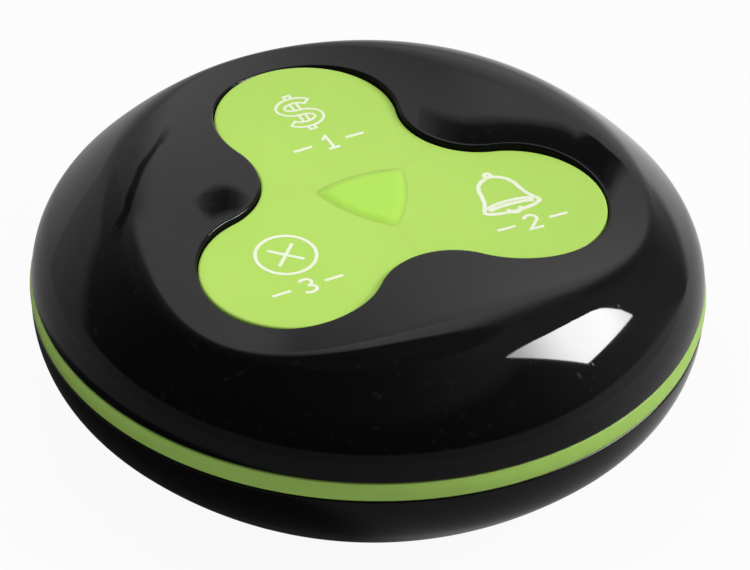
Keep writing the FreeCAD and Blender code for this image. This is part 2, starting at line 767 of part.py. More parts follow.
def make_status_led():
    return block("status_led", "-dim.led_side / 2", "dim.led_side / 2", "dim.led_side",
                 "place.board_top", "place.board_top + dim.led_height", "0")


def make_encoder_chip():
    angle = NOTCH_ANGLES[2]
    return block("encoder_chip", "place.chip_place - dim.chip_width / 2",
                 "place.chip_place + dim.chip_width / 2", "dim.chip_length",
                 "place.board_top", "place.board_top + dim.chip_height", angle)


def make_resonator_can():
    x, y = polar("place.can_place", NOTCH_ANGLES[0])
    return cylinder("resonator_can", "dim.can_radius", "place.board_top", "place.board_top + dim.can_height",
                    x, y)


def make_board_components():
    """Four chip resistors and capacitors in a row."""
    angle = NOTCH_ANGLES[1]
    parts = []
    for index in range(4):
        end = f"(place.chip_part_end - {index} * dim.chip_part_step)"
        parts.append(block(f"chip_part_{index + 1}", f"{end} - dim.chip_part_width", end,
                           "dim.chip_part_length", "place.board_top",
                           "place.board_top + dim.chip_part_height", angle))
    return group("board_components", parts)


# ---------------------------------------------------------------- screws

def make_screws(name, circle, shank, head, seat, head_height, tip):
    """Three pan-head screws driven upwards, each a head below its seat and a shank up to the tip."""
    screws = []
    for index, angle in enumerate(NOTCH_ANGLES, start=1):
        x, y = polar(circle, angle)
        top = cylinder(f"{name}_head_{index}", head, f"({seat}) - ({head_height})", seat, x, y)
        rod = cylinder(f"{name}_shank_{index}", shank, seat, tip, x, y)
        screws.append(fuse(f"{name}_{index}", [top, rod]))
    return group(name, screws)


def make_board_screws():
    return make_screws("board_screws", "place.board_screw_circle", "dim.board_screw_radius",
                       "dim.board_head_radius", "place.board_bottom", "dim.board_head_height",
                       "place.support_top + dim.board_screw_bite")


def make_case_screws():
    return make_screws("case_screws", "place.case_screw_circle", "dim.case_screw_radius",
                       "dim.case_head_radius", "dim.case_seat_height", "dim.case_head_height",
                       "place.tongue_top + dim.case_screw_bite")


# ---------------------------------------------------------------- battery door, seal, cell and contacts

def make_battery_door():
    """A twist-off door: a flush disc with a coin slot, and a plug with a seal groove and three lugs."""
    door = new_body("door_turning")
    groove_bottom = "place.door_top + dim.seal_groove_rise"
    groove_top = f"{groove_bottom} + dim.seal_groove_width"
    groove_floor = "dim.plug_radius - dim.seal_groove_depth"
    cup_floor = "place.plug_top - dim.plug_cup_depth"
    turn(door, "door_section", (
        ("0", "dim.foot_rise"),
        ("dim.door_radius", "dim.foot_rise"),
        ("dim.door_radius", "place.door_top"),
        ("dim.plug_radius", "place.door_top"),
        ("dim.plug_radius", groove_bottom),
        (groove_floor, groove_bottom),
        (groove_floor, groove_top),
        ("dim.plug_radius", groove_top),
        ("dim.plug_radius", "place.plug_top"),
        ("dim.plug_cup_radius", "place.plug_top"),
        ("dim.plug_cup_radius", cup_floor),
        ("0", cup_floor),
    ))
    parts = [door]
    for index, angle in enumerate(LUG_ANGLES, start=1):
        parts.append(block(f"lug_{index}", "dim.plug_radius - 1", "dim.plug_radius + dim.lug_reach",
                           "dim.lug_width", "place.ledge_top + dim.screw_gap", "place.plug_top", angle))
    slot = block("coin_slot", "-dim.coin_slot_length / 2", "dim.coin_slot_length / 2",
                 "dim.coin_slot_width", "0", "dim.foot_rise + dim.coin_slot_depth", "0")
    return cut("battery_door", fuse("door_solid", parts), slot)


def make_door_seal():
    """A rubber ring in the groove of the door plug."""
    seal = doc.addObject("Part::Torus", "door_seal")
    bind(seal, Radius1="dim.plug_radius - dim.seal_groove_depth + dim.seal_thick / 2 + dim.screw_gap",
         Radius2="dim.seal_thick / 2",
         Placement__Base__z="place.door_top + dim.seal_groove_rise + dim.seal_groove_width / 2")
    return seal


def make_coin_cell():
    """A coin cell, its smaller cap upwards."""
    cell = new_body("coin_cell")
    turn(cell, "cell_section", (
        ("0", "place.plug_top"),
        ("dim.cell_radius", "place.plug_top"),
        ("dim.cell_radius", "place.cell_top - dim.cell_cap_rise"),
        ("dim.cell_cap_radius", "place.cell_top - dim.cell_cap_rise"),
        ("dim.cell_cap_radius", "place.cell_top"),
        ("0", "place.cell_top"),
    ))
    return cell


def make_cap_contact():
    """An arched leaf spring under the roof of the bay, touching the cap of the cell."""
    contact = new_body("cap_contact")
    sketch = new_sketch(contact, "cap_contact_section", "XZ_Plane")
    half = "dim.contact_length / 2"
    rise = "(dim.spring_space - dim.contact_thick)"
    bend = f"(({half}) ^ 2 + {rise} ^ 2) / (2 * {rise})"
    outline(sketch, (
        (f"-({half})", "place.bay_roof - dim.contact_thick", bend, "0", f"place.cell_top + {bend}"),
        (half, "place.bay_roof - dim.contact_thick"),
        (half, "place.bay_roof", f"{bend} - dim.contact_thick", "0", f"place.cell_top + {bend}"),
        (f"-({half})", "place.bay_roof"),
    ))
    feature = pad(contact, sketch, "dim.contact_width")
    feature.Midplane = True
    return contact


def make_side_contact():
    """A flat leaf in a slot of the bay wall, touching the side of the cell."""
    return block("side_contact", "dim.cell_radius", "dim.cell_radius + dim.contact_thick",
                 "dim.contact_width", "place.cell_top - dim.cell_cap_rise - dim.side_contact_drop",
                 "place.bay_roof", "0")


def make_battery_leads():
    """Two insulated leads from the bay roof up to the board."""
    leads = []
    for index, sign in enumerate(("", "-"), start=1):
        leads.append(cylinder(f"lead_{index}", "dim.lead_radius", "place.bay_roof",
                              "place.board_bottom", f"{sign}dim.lead_spread", "0"))
    return group("battery_leads", leads)


def make_rubber_feet():
    return three("rubber_feet", "dim.foot_radius", "0", "dim.foot_rise + dim.foot_recess",
                 "place.foot_circle", LOBE_ANGLES.values())


# ---------------------------------------------------------------- the assembly

def make_parts():
    mat = make_mat()
    parts = {
        "top_shell": make_top_shell(),
        "trim_ring": make_trim_ring(),
        "base_shell": make_base_shell(),
        "keypad_hub": make_keypad_hub(mat),
        "keypad_support": make_keypad_support(),
        "circuit_board": make_circuit_board(),
        "status_led": make_status_led(),
        "encoder_chip": make_encoder_chip(),
        "resonator_can": make_resonator_can(),
        "board_components": make_board_components(),
        "board_screws": make_board_screws(),
        "case_screws": make_case_screws(),
        "battery_door": make_battery_door(),
        "door_seal": make_door_seal(),
        "coin_cell": make_coin_cell(),
        "cap_contact": make_cap_contact(),
        "side_contact": make_side_contact(),
        "battery_leads": make_battery_leads(),
        "rubber_feet": make_rubber_feet(),
    }
    for name, angle in LOBE_ANGLES.items():
        parts[f"{name}_key"] = make_key(name, angle, mat)
        parts[f"{name}_switch"] = make_switch(name, angle)
        parts[f"{name}_switch_stem"] = make_stem(name, angle)
    return parts


def check(parts):
    """Stops the build if an object of the document failed or a part has no sound shape."""
    for thing in doc.Objects:
        if "Invalid" in thing.State or "Error" in thing.State:
            raise RuntimeError(f"{thing.Name} failed: {thing.State}")
    for name, part in parts.items():
        if part.Shape.isNull() or not part.Shape.isValid() or not part.Shape.Solids:
            raise RuntimeError(f"{name} has no sound solid")


parts = make_parts()
doc.recompute()
check(parts)
os.makedirs("parts", exist_ok=True)
for name, part in parts.items():
    part.Label = name
    part.Shape.exportStep(f"parts/{name}.step")
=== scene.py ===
import bmesh
import bpy
from math import asin, atan2, cos, degrees, hypot, pi, radians, sin, sqrt
from mathutils import Matrix, Vector


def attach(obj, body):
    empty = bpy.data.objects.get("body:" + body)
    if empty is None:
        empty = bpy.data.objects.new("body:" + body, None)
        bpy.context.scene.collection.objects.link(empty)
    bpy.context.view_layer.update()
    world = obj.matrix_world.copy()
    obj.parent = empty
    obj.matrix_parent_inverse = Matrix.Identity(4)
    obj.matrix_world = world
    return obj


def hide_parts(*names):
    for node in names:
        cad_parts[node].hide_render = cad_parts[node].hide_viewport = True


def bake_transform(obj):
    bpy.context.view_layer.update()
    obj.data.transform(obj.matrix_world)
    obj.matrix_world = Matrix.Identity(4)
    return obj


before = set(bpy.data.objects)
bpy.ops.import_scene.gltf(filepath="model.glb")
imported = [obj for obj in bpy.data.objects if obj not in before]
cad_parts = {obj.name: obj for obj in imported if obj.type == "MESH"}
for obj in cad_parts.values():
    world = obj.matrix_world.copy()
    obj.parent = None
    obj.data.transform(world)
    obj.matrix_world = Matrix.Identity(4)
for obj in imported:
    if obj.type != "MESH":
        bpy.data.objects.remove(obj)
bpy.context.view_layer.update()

# ------------------------ camera
# A long lens a little under two metres away, looking down on the case at 37 degrees with the bill key
# turned to the far left.
MM = 0.001
BODY_RADIUS = 43.0
WAIST_HEIGHT = 18.4
VIEW_AZIMUTH = radians(-28.0)
VIEW_ELEVATION = radians(37.26)
VIEW_ROLL = radians(1.84)
VIEW_DISTANCE = 40 * BODY_RADIUS * MM
AIM_RIGHT = 0.88 * MM
AIM_UP = 0.05 * MM
LENS = 646.5
SENSOR_WIDTH = 36.0
NEAR_CLIP = 0.05


def toward(azimuth, elevation):
    """The direction out from the case at an azimuth, counted from its front, and an elevation."""
    return Vector((sin(azimuth) * cos(elevation), -cos(azimuth) * cos(elevation), sin(elevation)))


view_toward = toward(VIEW_AZIMUTH, VIEW_ELEVATION)
view_right = Vector((cos(VIEW_AZIMUTH), sin(VIEW_AZIMUTH), 0))
view_up = view_toward.cross(view_right)
camera_data = bpy.data.cameras.new("camera")
camera_data.lens = LENS
camera_data.sensor_width = SENSOR_WIDTH
camera_data.clip_start = NEAR_CLIP
camera = bpy.data.objects.new("camera", camera_data)
bpy.context.scene.collection.objects.link(camera)
waist = Vector((0, 0, WAIST_HEIGHT * MM))
aim = waist + AIM_RIGHT * view_right + AIM_UP * view_up
turn = Matrix((view_right, view_up, view_toward)).transposed().to_4x4()
camera.matrix_world = (Matrix.Translation(aim + VIEW_DISTANCE * view_toward) @ turn
                       @ Matrix.Rotation(VIEW_ROLL, 4, "Z"))
bpy.context.scene.camera = camera


# ------------------------ studio
# A pale table, one slanting window pane low on the right, a pale wall behind and a dark room in front.
# A small lamp hangs close overhead. The gloss sees its own levels of the table and the room, listed by
# degrees from the front; in the gloss the table glows at its painted levels, and a painted shadow darkens it
# beside the case.
FLOOR_SIZE = 3.0
GLOSS_HEIGHT = 0.028
TABLE_LEVELS = ((-180, 0.36), (-150, 0.44), (-105, 0.10), (-30, 0.14), (30, 0.24), (62, 0.58), (100, 0.60),
                (138, 1.0), (160, 0.34))
ROOM_LEVELS = ((-180, 0.38), (-145, 0.06), (-110, 0.01), (-25, 0.01), (40, 0.03), (78, 0.36), (100, 0.14),
               (116, 0.17), (129, 1.0), (150, 0.95), (164, 0.45))
CORNICE_LEVELS = ((-180, 0.30), (-155, 0.08), (-110, 0.01), (-10, 0.02), (38, 0.28), (80, 0.26), (118, 0.16),
                  (136, 0.85), (158, 1.35), (172, 0.70))
CEILING_LEVELS = ((-180, 0.05), (-90, 0.03), (30, 0.10), (100, 0.11), (170, 0.06))
HORIZON_RISES = ((-180, 0.49), (60, 0.51), (80, 0.48), (93, 0.36), (104, 0.20), (118, 0.08), (126, 0.25),
                 (136, 0.49))
HORIZON_EDGE = (-0.29, -0.21)
CORNICE_EDGE = (0.66, 0.74)
CEILING_EDGE = (0.88, 0.93)
# A painted shadow on the table, seen only in the gloss: its centre, its soft edge and how dark it is.
SHADE_PLACE = (-0.045, -0.005, 0.0)
SHADE_EDGE = (0.036, 0.050)
SHADE_LEVEL = 0.15
PANE_TOWARD = Vector((0.7657, -0.3358, 0.5486))
PANE_ACROSS = Vector((-0.4016, -0.9158, 0))
PANE_UP = Vector((-0.5024, 0.2203, 0.8361))
PANE_DISTANCE = 0.62
PANE_OUTLINE = ((0.243, 0.200), (0.004, 0.046), (-0.052, -0.004), (-0.098, -0.061), (-0.127, -0.103),
                (-0.1445, -0.142), (0.091, -0.047))
PANE_EDGE = (0.06, 0.30)
PANE_LEVELS = (21.0, 8.5)
ROOM_FILL = 0.25
TOP_POWER = 0.096
TOP_SIZE = 0.1
TOP_PLACE = Vector((-0.03, 0.008, 0.15))
PAPER = (0.8, 0.8, 0.8, 1)
BACKDROP_WHITE = 0.94


def node_adder(tree):
    """A function that adds a node to the tree, and sets its inputs or links them to other nodes."""
    def add(kind, settings=None, **inputs):
        node = tree.nodes.new(kind)
        for attribute, value in (settings or {}).items():
            setattr(node, attribute, value)
        for key, value in inputs.items():
            index = int(key[1:]) if key[0] == "i" and key[1:].isdigit() else key.replace("_", " ")
            socket = node.inputs[index]
            if isinstance(value, bpy.types.NodeSocket):
                tree.links.new(value, socket)
            else:
                socket.default_value = value
        return node
    return add


def new_material(name):
    """An empty node material and its node adder."""
    material = bpy.data.materials.new(name)
    material.use_nodes = True
    material.node_tree.nodes.clear()
    return material, node_adder(material.node_tree)


def calculate(add, operation, *numbers):
    """What a Math node makes of the numbers."""
    inputs = {f"i{index}": number for index, number in enumerate(numbers)}
    return add("ShaderNodeMath", {"operation": operation}, **inputs).outputs[0]


def between(add, share, first, second):
    """A number between two others."""
    return add("ShaderNodeMix", {"data_type": "FLOAT"}, i0=share, i2=first, i3=second).outputs[0]


def soft_step(add, value, edge, levels):
    """One level below an edge and another above it, with a soft change across the edge."""
    step = add("ShaderNodeMapRange", {"interpolation_type": "SMOOTHSTEP"}, Value=value,
               From_Min=edge[0], From_Max=edge[1])
    return between(add, step.outputs[0], *levels)


def level_round(add, share, levels):
    """How bright the room is in the gloss, all the way round."""
    ramp = add("ShaderNodeValToRGB", Fac=share)
    ramp.color_ramp.interpolation = "B_SPLINE"
    stops = ramp.color_ramp.elements
    stops[0].position, stops[1].position = 0.0, 1.0
    stops[0].color = stops[1].color = (levels[0][1],) * 3 + (1,)
    for angle, level in levels[1:]:
        stops.new((angle + 180) / 360).color = (level, level, level, 1)
    return ramp.outputs[0]


def room_in_gloss(add, direction):
    """The room as the gloss shows it: table, walls, cornice and ceiling, one above the other."""
    across, depth, height = add("ShaderNodeSeparateXYZ", Vector=direction).outputs
    angle = calculate(add, "ARCTAN2", across, calculate(add, "MULTIPLY", depth, -1.0))
    share = add("ShaderNodeMapRange", Value=angle, From_Min=-pi, From_Max=pi).outputs[0]
    horizon = calculate(add, "SUBTRACT", height, level_round(add, share, HORIZON_RISES))
    low = level_round(add, share, TABLE_LEVELS)
    for value, edge, levels in ((horizon, HORIZON_EDGE, ROOM_LEVELS), (height, CORNICE_EDGE, CORNICE_LEVELS),
                                (height, CEILING_EDGE, CEILING_LEVELS)):
        low = soft_step(add, value, edge, (low, level_round(add, share, levels)))
    return low


def seen_directly(add):
    """One for what the camera sees itself or through something clear, and none for the rest."""
    rays = add("ShaderNodeLightPath").outputs
    return calculate(add, "MAXIMUM", rays["Is Camera Ray"], rays["Is Transmission Ray"])


def link_mesh(name, points, faces):
    """A mesh object in the scene, from points in metres."""
    mesh = bpy.data.meshes.new(name)
    mesh.from_pydata(points, [], faces)
    piece = bpy.data.objects.new(name, mesh)
    bpy.context.scene.collection.objects.link(piece)
    return piece


world = bpy.data.worlds.new("studio_room")
world.use_nodes = True
bpy.context.scene.world = world
world.node_tree.nodes.clear()
add = node_adder(world.node_tree)
rays = add("ShaderNodeLightPath")
place = add("ShaderNodeTexCoord")
gloss = room_in_gloss(add, place.outputs["Generated"])
fill = between(add, rays.outputs["Is Diffuse Ray"], gloss, ROOM_FILL)
background = add("ShaderNodeBackground", Strength=between(add, seen_directly(add), fill, 1.0))
add("ShaderNodeOutputWorld", Surface=background.outputs[0])

half = FLOOR_SIZE / 2
floor_corners = [(-half, -half, 0), (half, -half, 0), (half, half, 0), (-half, half, 0)]
studio_floor = link_mesh("studio_floor", floor_corners, [(0, 1, 2, 3)])
material, add = new_material("table_white")
rays = add("ShaderNodeLightPath")
place = add("ShaderNodeTexCoord")
raised = add("ShaderNodeVectorMath", {"operation": "SUBTRACT"}, i0=place.outputs["Object"],
             i1=(0, 0, GLOSS_HEIGHT))
outward = add("ShaderNodeVectorMath", {"operation": "NORMALIZE"}, i0=raised.outputs[0])
# Painted reflection and painted shadow: in the gloss the table glows at painted levels, darkened round a spot
# beside the case where the case's shadow would fall.
shade = add("ShaderNodeVectorMath", {"operation": "DISTANCE"}, i0=place.outputs["Object"], i1=SHADE_PLACE)
painted_shadow = soft_step(add, shade.outputs["Value"], SHADE_EDGE, (SHADE_LEVEL, 1.0))
in_gloss = add("ShaderNodeEmission",
               Strength=calculate(add, "MULTIPLY", room_in_gloss(add, outward.outputs[0]), painted_shadow))
paper = add("ShaderNodeBsdfDiffuse", Color=PAPER)
white = add("ShaderNodeEmission", Strength=1.0)
lit = add("ShaderNodeMixShader", Fac=BACKDROP_WHITE, i1=paper.outputs[0], i2=white.outputs[0])
glossy = add("ShaderNodeMixShader", Fac=rays.outputs["Is Glossy Ray"], i1=paper.outputs[0],
             i2=in_gloss.outputs[0])
sweep = add("ShaderNodeMixShader", Fac=seen_directly(add), i1=glossy.outputs[0], i2=lit.outputs[0])
add("ShaderNodeOutputMaterial", Surface=sweep.outputs[0])
studio_floor.data.materials.append(material)

pane_centre = waist + PANE_DISTANCE * PANE_TOWARD
window_pane = link_mesh("window_pane", [tuple(pane_centre + across * PANE_ACROSS + up * PANE_UP)
                                        for across, up in PANE_OUTLINE], [tuple(range(len(PANE_OUTLINE)))])
window_pane.visible_camera = False
material, add = new_material("window_daylight")
place = add("ShaderNodeTexCoord")
reach = add("ShaderNodeVectorMath", {"operation": "DISTANCE"}, i0=place.outputs["Object"], i1=pane_centre)
daylight = add("ShaderNodeEmission", Strength=soft_step(add, reach.outputs["Value"], PANE_EDGE, PANE_LEVELS))
add("ShaderNodeOutputMaterial", Surface=daylight.outputs[0])
window_pane.data.materials.append(material)

top_data = bpy.data.lights.new("top_light", "AREA")
top_data.size = TOP_SIZE
top_data.energy = TOP_POWER
top_light = bpy.data.objects.new("top_light", top_data)
bpy.context.scene.collection.objects.link(top_light)
top_light.location = TOP_PLACE
top_light.visible_glossy = top_light.visible_camera = False
bpy.context.scene.view_settings.view_transform = "Standard"


# ------------------------ top shell
# The upper half of the case: injection-moulded ABS with a high polish. Its top is dished round the
# keypad, lower along the three keys and higher between them, with a softly rounded ridge outside.
RING_TOP = 19.8
RING_BOTTOM = 17.0
DOME_RADIUS = 52.9
DOME_ROUND = 8.8
DISH_DEPTH = 11.75
DISH_SADDLE = 3.6
LOBE_RIDGE = 0.5
NOTCH_RIDGE = 3.2
ROOF = 3.7
WALL = 2.0
RIM_ROUND = 0.3
EDGE_ROUND = 0.35
LOBE_ANGLES = {"call": -30, "bill": 90, "cancel": 210}
NOTCH_ANGLES = (30, 150, 270)
LOBE_RADIUS = 11.9
NOTCH_RADIUS = 9.8
LOBE_DISTANCE = 18.4
KEY_GAP = 0.15
SIXTH_TURN = radians(60)
COLUMNS = 180
FACE_ROWS = 90
SHOULDER_STEPS = 24
INNER_STEPS = 10
EDGE_STEPS = 6
OPENING_REACH = 33.0
WALL_STEEPNESS = 0.5
CREASE = 40
MERGE = 0.002
NOISE_SPREAD = (0.3, 0.7)

dome_side = BODY_RADIUS - DOME_ROUND
dome_span = DOME_RADIUS - DOME_ROUND
dome_centre = RING_TOP - sqrt(dome_span ** 2 - dome_side ** 2)
dome_join = dome_side * DOME_RADIUS / dome_span
dish_middle = dome_centre + DOME_RADIUS - DISH_DEPTH
ceiling = dish_middle - ROOF
notch_distance = (LOBE_DISTANCE + sqrt(4 * (LOBE_RADIUS + NOTCH_RADIUS) ** 2 - 3 * LOBE_DISTANCE ** 2)) / 2


def shell_height(x, y):
    """Height of the outer face of the top shell, with the ridge between dome and dish rounded: nearly
    crisp outside the lobes and softer outside the notches."""
    radius = hypot(x, y)
    swell = y ** 3 - 3 * x * x * y
    dome = dome_centre + sqrt(max(DOME_RADIUS ** 2 - radius ** 2, 0))
    dish = dish_middle - DISH_SADDLE * swell / BODY_RADIUS ** 3
    lobe_share = (1 + swell / radius ** 3) / 2
    blend = NOTCH_RIDGE + (LOBE_RIDGE - NOTCH_RIDGE) * lobe_share
    near = max(blend - abs(dome - dish), 0) / blend
    return min(dome, dish) - near * near * blend / 4


def lobe_outline(growth, columns):
    """One third of the cloverleaf, for a lobe along +X: points from notch tip to notch tip, each with
    its outward normal and its distance from the nearer tip."""
    lobe = LOBE_RADIUS + growth
    notch = NOTCH_RADIUS - growth
    notch_x = notch_distance * cos(SIXTH_TURN)
    notch_y = notch_distance * sin(SIXTH_TURN)
    meet = atan2(notch_y, notch_x - LOBE_DISTANCE)
    notch_length = notch * abs(meet - SIXTH_TURN)
    half_length = notch_length + lobe * meet
    points = []
    for column in range(columns + 1):
        along = half_length * (2 * column / columns - 1)
        side = 1 if along > 0 else -1
        rest = half_length - abs(along)
        if rest < notch_length:
            angle = SIXTH_TURN + pi + rest / notch
            spot = (notch_x + notch * cos(angle), notch_y + notch * sin(angle))
            normal = (-cos(angle), -sin(angle))
        else:
            angle = meet - (rest - notch_length) / lobe
            spot = (LOBE_DISTANCE + lobe * cos(angle), lobe * sin(angle))
            normal = (cos(angle), sin(angle))
        points.append((spot[0], side * spot[1], normal[0], side * normal[1], rest))
    return points


def turned(x, y, angle):
    return x * cos(angle) - y * sin(angle), x * sin(angle) + y * cos(angle)


def clover_outline():
    """The whole closed cloverleaf, three lobes one after the other."""
    points = []
    for angle in LOBE_ANGLES.values():
        for x, y, normal_x, normal_y, _ in lobe_outline(0, COLUMNS)[:-1]:
            spot = turned(x, y, radians(angle))
            normal = turned(normal_x, normal_y, radians(angle))
            points.append((*spot, *normal))
    return points


def close_piece(piece, smooth_angle=30):
    """Merges doubled points, turns the faces outwards and keeps the edges past an angle sharp."""
    work = bmesh.new()
    work.from_mesh(piece.data)
    bmesh.ops.remove_doubles(work, verts=work.verts, dist=MERGE * MM)
    bmesh.ops.dissolve_degenerate(work, edges=work.edges, dist=MERGE / 2 * MM)
    bmesh.ops.recalc_face_normals(work, faces=work.faces)
    for face in work.faces:
        face.smooth = True
    for edge in work.edges:
        sharp = len(edge.link_faces) == 2 and edge.calc_face_angle() > radians(smooth_angle)
        edge.smooth = not sharp
    work.to_mesh(piece.data)
    work.free()


def make_piece(name, points, faces, material, smooth_angle=30):
    """A closed mesh object from points in millimetres."""
    piece = link_mesh(name, [(x * MM, y * MM, z * MM) for x, y, z in points], faces)
    close_piece(piece, smooth_angle)
    piece.data.materials.append(material)
    return piece


def loft(rings, closed_along=False, closed_round=True):
    """Quads between rings of equal length, which close on themselves or stay open rows."""
    count = len(rings[0])
    points = [point for ring in rings for point in ring]
    faces = []
    for row in range(len(rings) if closed_along else len(rings) - 1):
        start = row * count
        other = ((row + 1) % len(rings)) * count
        for column in range(count if closed_round else count - 1):
            follower = (column + 1) % count
            faces.append((start + column, start + follower, other + follower, other + column))
    return points, faces


def oval(centre_x, centre_y, reach_x, reach_y, first, last, steps=24):
    """Points of an oval from a first angle to a last, in degrees."""
    return [(centre_x + reach_x * cos(radians(first + (last - first) * step / steps)),
             centre_y + reach_y * sin(radians(first + (last - first) * step / steps)))
            for step in range(steps + 1)]


def arc(centre_r, centre_z, radius, first, last, steps):
    """Points of an arc in a half section."""
    return oval(centre_r, centre_z, radius, radius, first, last, steps)


def noise(add, scale, detail):
    """Noise in the piece's own space."""
    place = add("ShaderNodeTexCoord")
    return add("ShaderNodeTexNoise", Vector=place.outputs["Object"], Scale=scale, Detail=detail).outputs[0]


def spread(add, value, low, high, ends=NOISE_SPREAD):
    """A noise brought to run from low to high."""
    return add("ShaderNodeMapRange", Value=value, From_Min=ends[0], From_Max=ends[1],
               To_Min=low, To_Max=high).outputs[0]


def finish(material, add, share, dark, light, roughness, bump=None, **looks):
    """Ends a material: a colour that wanders between two tones, a roughness, and a bump given as its
    height, strength and depth in metres."""
    tint = add("ShaderNodeMix", {"data_type": "RGBA"}, i0=share, i6=(*dark, 1), i7=(*light, 1))
    if bump:
        height, strength, depth = bump
        looks["Normal"] = add("ShaderNodeBump", Strength=strength, Distance=depth, Height=height).outputs[0]
    shader = add("ShaderNodeBsdfPrincipled", Base_Color=tint.outputs[2], Roughness=roughness, **looks)
    add("ShaderNodeOutputMaterial", Surface=shader.outputs[0])
    return material


def gloss_black():
    """Polished black ABS: deep black, a clear even gloss with faint waviness and fine dust."""
    material, add = new_material("gloss_black")
    wave = noise(add, 60.0, 2.0)
    specks = spread(add, noise(add, 900.0, 6.0), 0.0, 1.0, (0.62, 0.80))
    roughness = calculate(add, "MULTIPLY_ADD", specks, 0.10, spread(add, wave, 0.02, 0.045))
    return finish(material, add, specks, (0.003, 0.003, 0.0035), (0.012, 0.012, 0.012), roughness,
                  (wave, 0.04, 0.0002), IOR=1.5)


def plain_finish(name, dark, light, roughness, scale, detail=4.0, bump=(0.2, 0.00003), **looks):
    """A finish with one fine mottling between two tones, even or mottled in its roughness too."""
    material, add = new_material(name)
    mottle = noise(add, scale, detail)
    if isinstance(roughness, tuple):
        roughness = spread(add, mottle, *roughness)
    return finish(material, add, mottle, dark, light, roughness, bump and (mottle, *bump), **looks)


black_gloss = gloss_black()
# A duller black with little gloss on the wall of the opening, so the wall reflects little of the keypad and
# stays dark.
low_gloss_wall_black = plain_finish("dull_black", (0.002, 0.002, 0.002), (0.005, 0.005, 0.005), 0.6, 2500.0, 3.0,
                                None, Specular_IOR_Level=0.1)


def rounded_edge(outline, reach, steps, height):
    """Rows of points over a rounded edge, from an outline outwards by its reach, or inwards if the reach
    is negative, up to a face of some height."""
    rows = []
    for step in range(steps + 1):
        swing = radians(90 * step / steps)
        shift = reach * (1 - cos(swing))
        drop = abs(reach) * (1 - sin(swing))
        spots = [(x + normal_x * shift, y + normal_y * shift) for x, y, normal_x, normal_y, *_ in outline]
        rows.append([(x, y, height(x, y) - drop) for x, y in spots])
    return rows


def face_rows(outline, reach, targets, count, height):
    """Rows of points over a face, from the end of its rounded edge to a target for each point."""
    starts = [(x + normal_x * reach, y + normal_y * reach) for x, y, normal_x, normal_y, *_ in outline]
    rows = []
    for step in range(1, count + 1):
        share = step / count
        spots = [(x + share * (target_x - x), y + share * (target_y - y))
                 for (x, y), (target_x, target_y) in zip(starts, targets)]
        rows.append([(x, y, height(x, y)) for x, y in spots])
    return rows


def make_top_shell():
    """Rings that widen from the edge of the opening over the face, round the shoulder and back inside."""
    rim = clover_outline()
    angles = [atan2(y, x) for x, y, _, _ in rim]
    shoulder = [(dome_join * cos(angle), dome_join * sin(angle)) for angle in angles]
    rings = rounded_edge(rim, RIM_ROUND, EDGE_STEPS, shell_height)
    rings += face_rows(rim, RIM_ROUND, shoulder, FACE_ROWS, shell_height)
    join_angle = degrees(asin((RING_TOP - dome_centre) / dome_span))
    edge_angle = degrees(asin(EDGE_ROUND / DOME_ROUND))
    roof_angle = degrees(asin((ceiling - dome_centre) / (DOME_RADIUS - WALL)))
    side = arc(dome_side, RING_TOP, DOME_ROUND, join_angle, edge_angle, SHOULDER_STEPS)[1:]
    side += arc(BODY_RADIUS - EDGE_ROUND, RING_TOP + EDGE_ROUND, EDGE_ROUND, 0, -90, EDGE_STEPS)
    side += [(BODY_RADIUS - WALL, RING_TOP)]
    side += arc(dome_side, RING_TOP, DOME_ROUND - WALL, 0, join_angle, INNER_STEPS)
    side += arc(0, dome_centre, DOME_RADIUS - WALL, join_angle, roof_angle, EDGE_STEPS)[1:]
    for radius, z in side:
        rings.append([(radius * cos(angle), radius * sin(angle), z) for angle in angles])
    rings.append([(x, y, ceiling) for x, y, _, _ in rim])
    points, faces = loft(rings, closed_along=True)
    shell = make_piece("top_shell_skin", points, faces, black_gloss, CREASE)
    shell.data.materials.append(low_gloss_wall_black)
    for face in shell.data.polygons:
        if face.center.xy.length < OPENING_REACH * MM and abs(face.normal.z) < WALL_STEEPNESS:
            face.material_index = 1
    return shell


top_shell = make_top_shell()
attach(top_shell, "case")
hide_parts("top_shell")


# ------------------------ dark flags
# Three small dark flags with soft edges hang close above the top shell, where only its gloss sees them:
# painted reflection, dark patches in the shell's gloss, as they block no light and cast no shadow.
# Each is listed in millimetres, as rows of two end points and how dense the flag is between them.
FLAG_LEVEL = 0.04
FLAG_FADES = ((0, 0), (0.25, 0.95), (0.5, 1), (0.75, 1), (1, 0))
RIGHT_FLAG = (
    ((22.0, 31.8, 49.2), (19.5, 25.4, 48.8), 0.3),
    ((24.2, 28.4, 49.8), (21.2, 20.9, 49.0), 0.85),
    ((26.0, 26.2, 50.2), (23.2, 18.3, 49.1), 1),
    ((29.3, 24.1, 51.0), (26.5, 15.9, 49.3), 1),
    ((32.2, 21.8, 51.6), (30.0, 14.9, 49.7), 1),
    ((35.2, 19.3, 52.1), (33.2, 13.0, 49.9), 1),
    ((37.9, 16.8, 52.3), (35.9, 10.6, 49.8), 1),
    ((39.6, 14.2, 52.0), (37.3, 9.0, 49.5), 1),
    ((42.4, 12.3, 50.9), (38.4, 6.8, 49.3), 1),
    ((43.9, 9.5, 50.2), (39.1, 4.9, 48.6), 1),
    ((47.4, 7.3, 47.3), (38.4, 2.9, 48.4), 0.85),
    ((49.3, 4.2, 45.0), (37.4, 0.6, 47.6), 0))
LEFT_FLAG = (
    ((-11.0, 23.9, 49.6), (-11.2, 23.7, 49.6), 0),
    ((-8.4, 26.1, 48.8), (-12.0, 19.8, 50.0), 0.65),
    ((-6.8, 26.9, 48.5), (-11.6, 18.3, 50.1), 0.9),
    ((-5.4, 26.7, 48.3), (-9.6, 19.0, 49.7), 1),
    ((-4.6, 25.4, 48.4), (-7.9, 19.4, 49.4), 0.8),
    ((-4.3, 22.6, 48.7), (-5.0, 21.3, 48.8), 0))
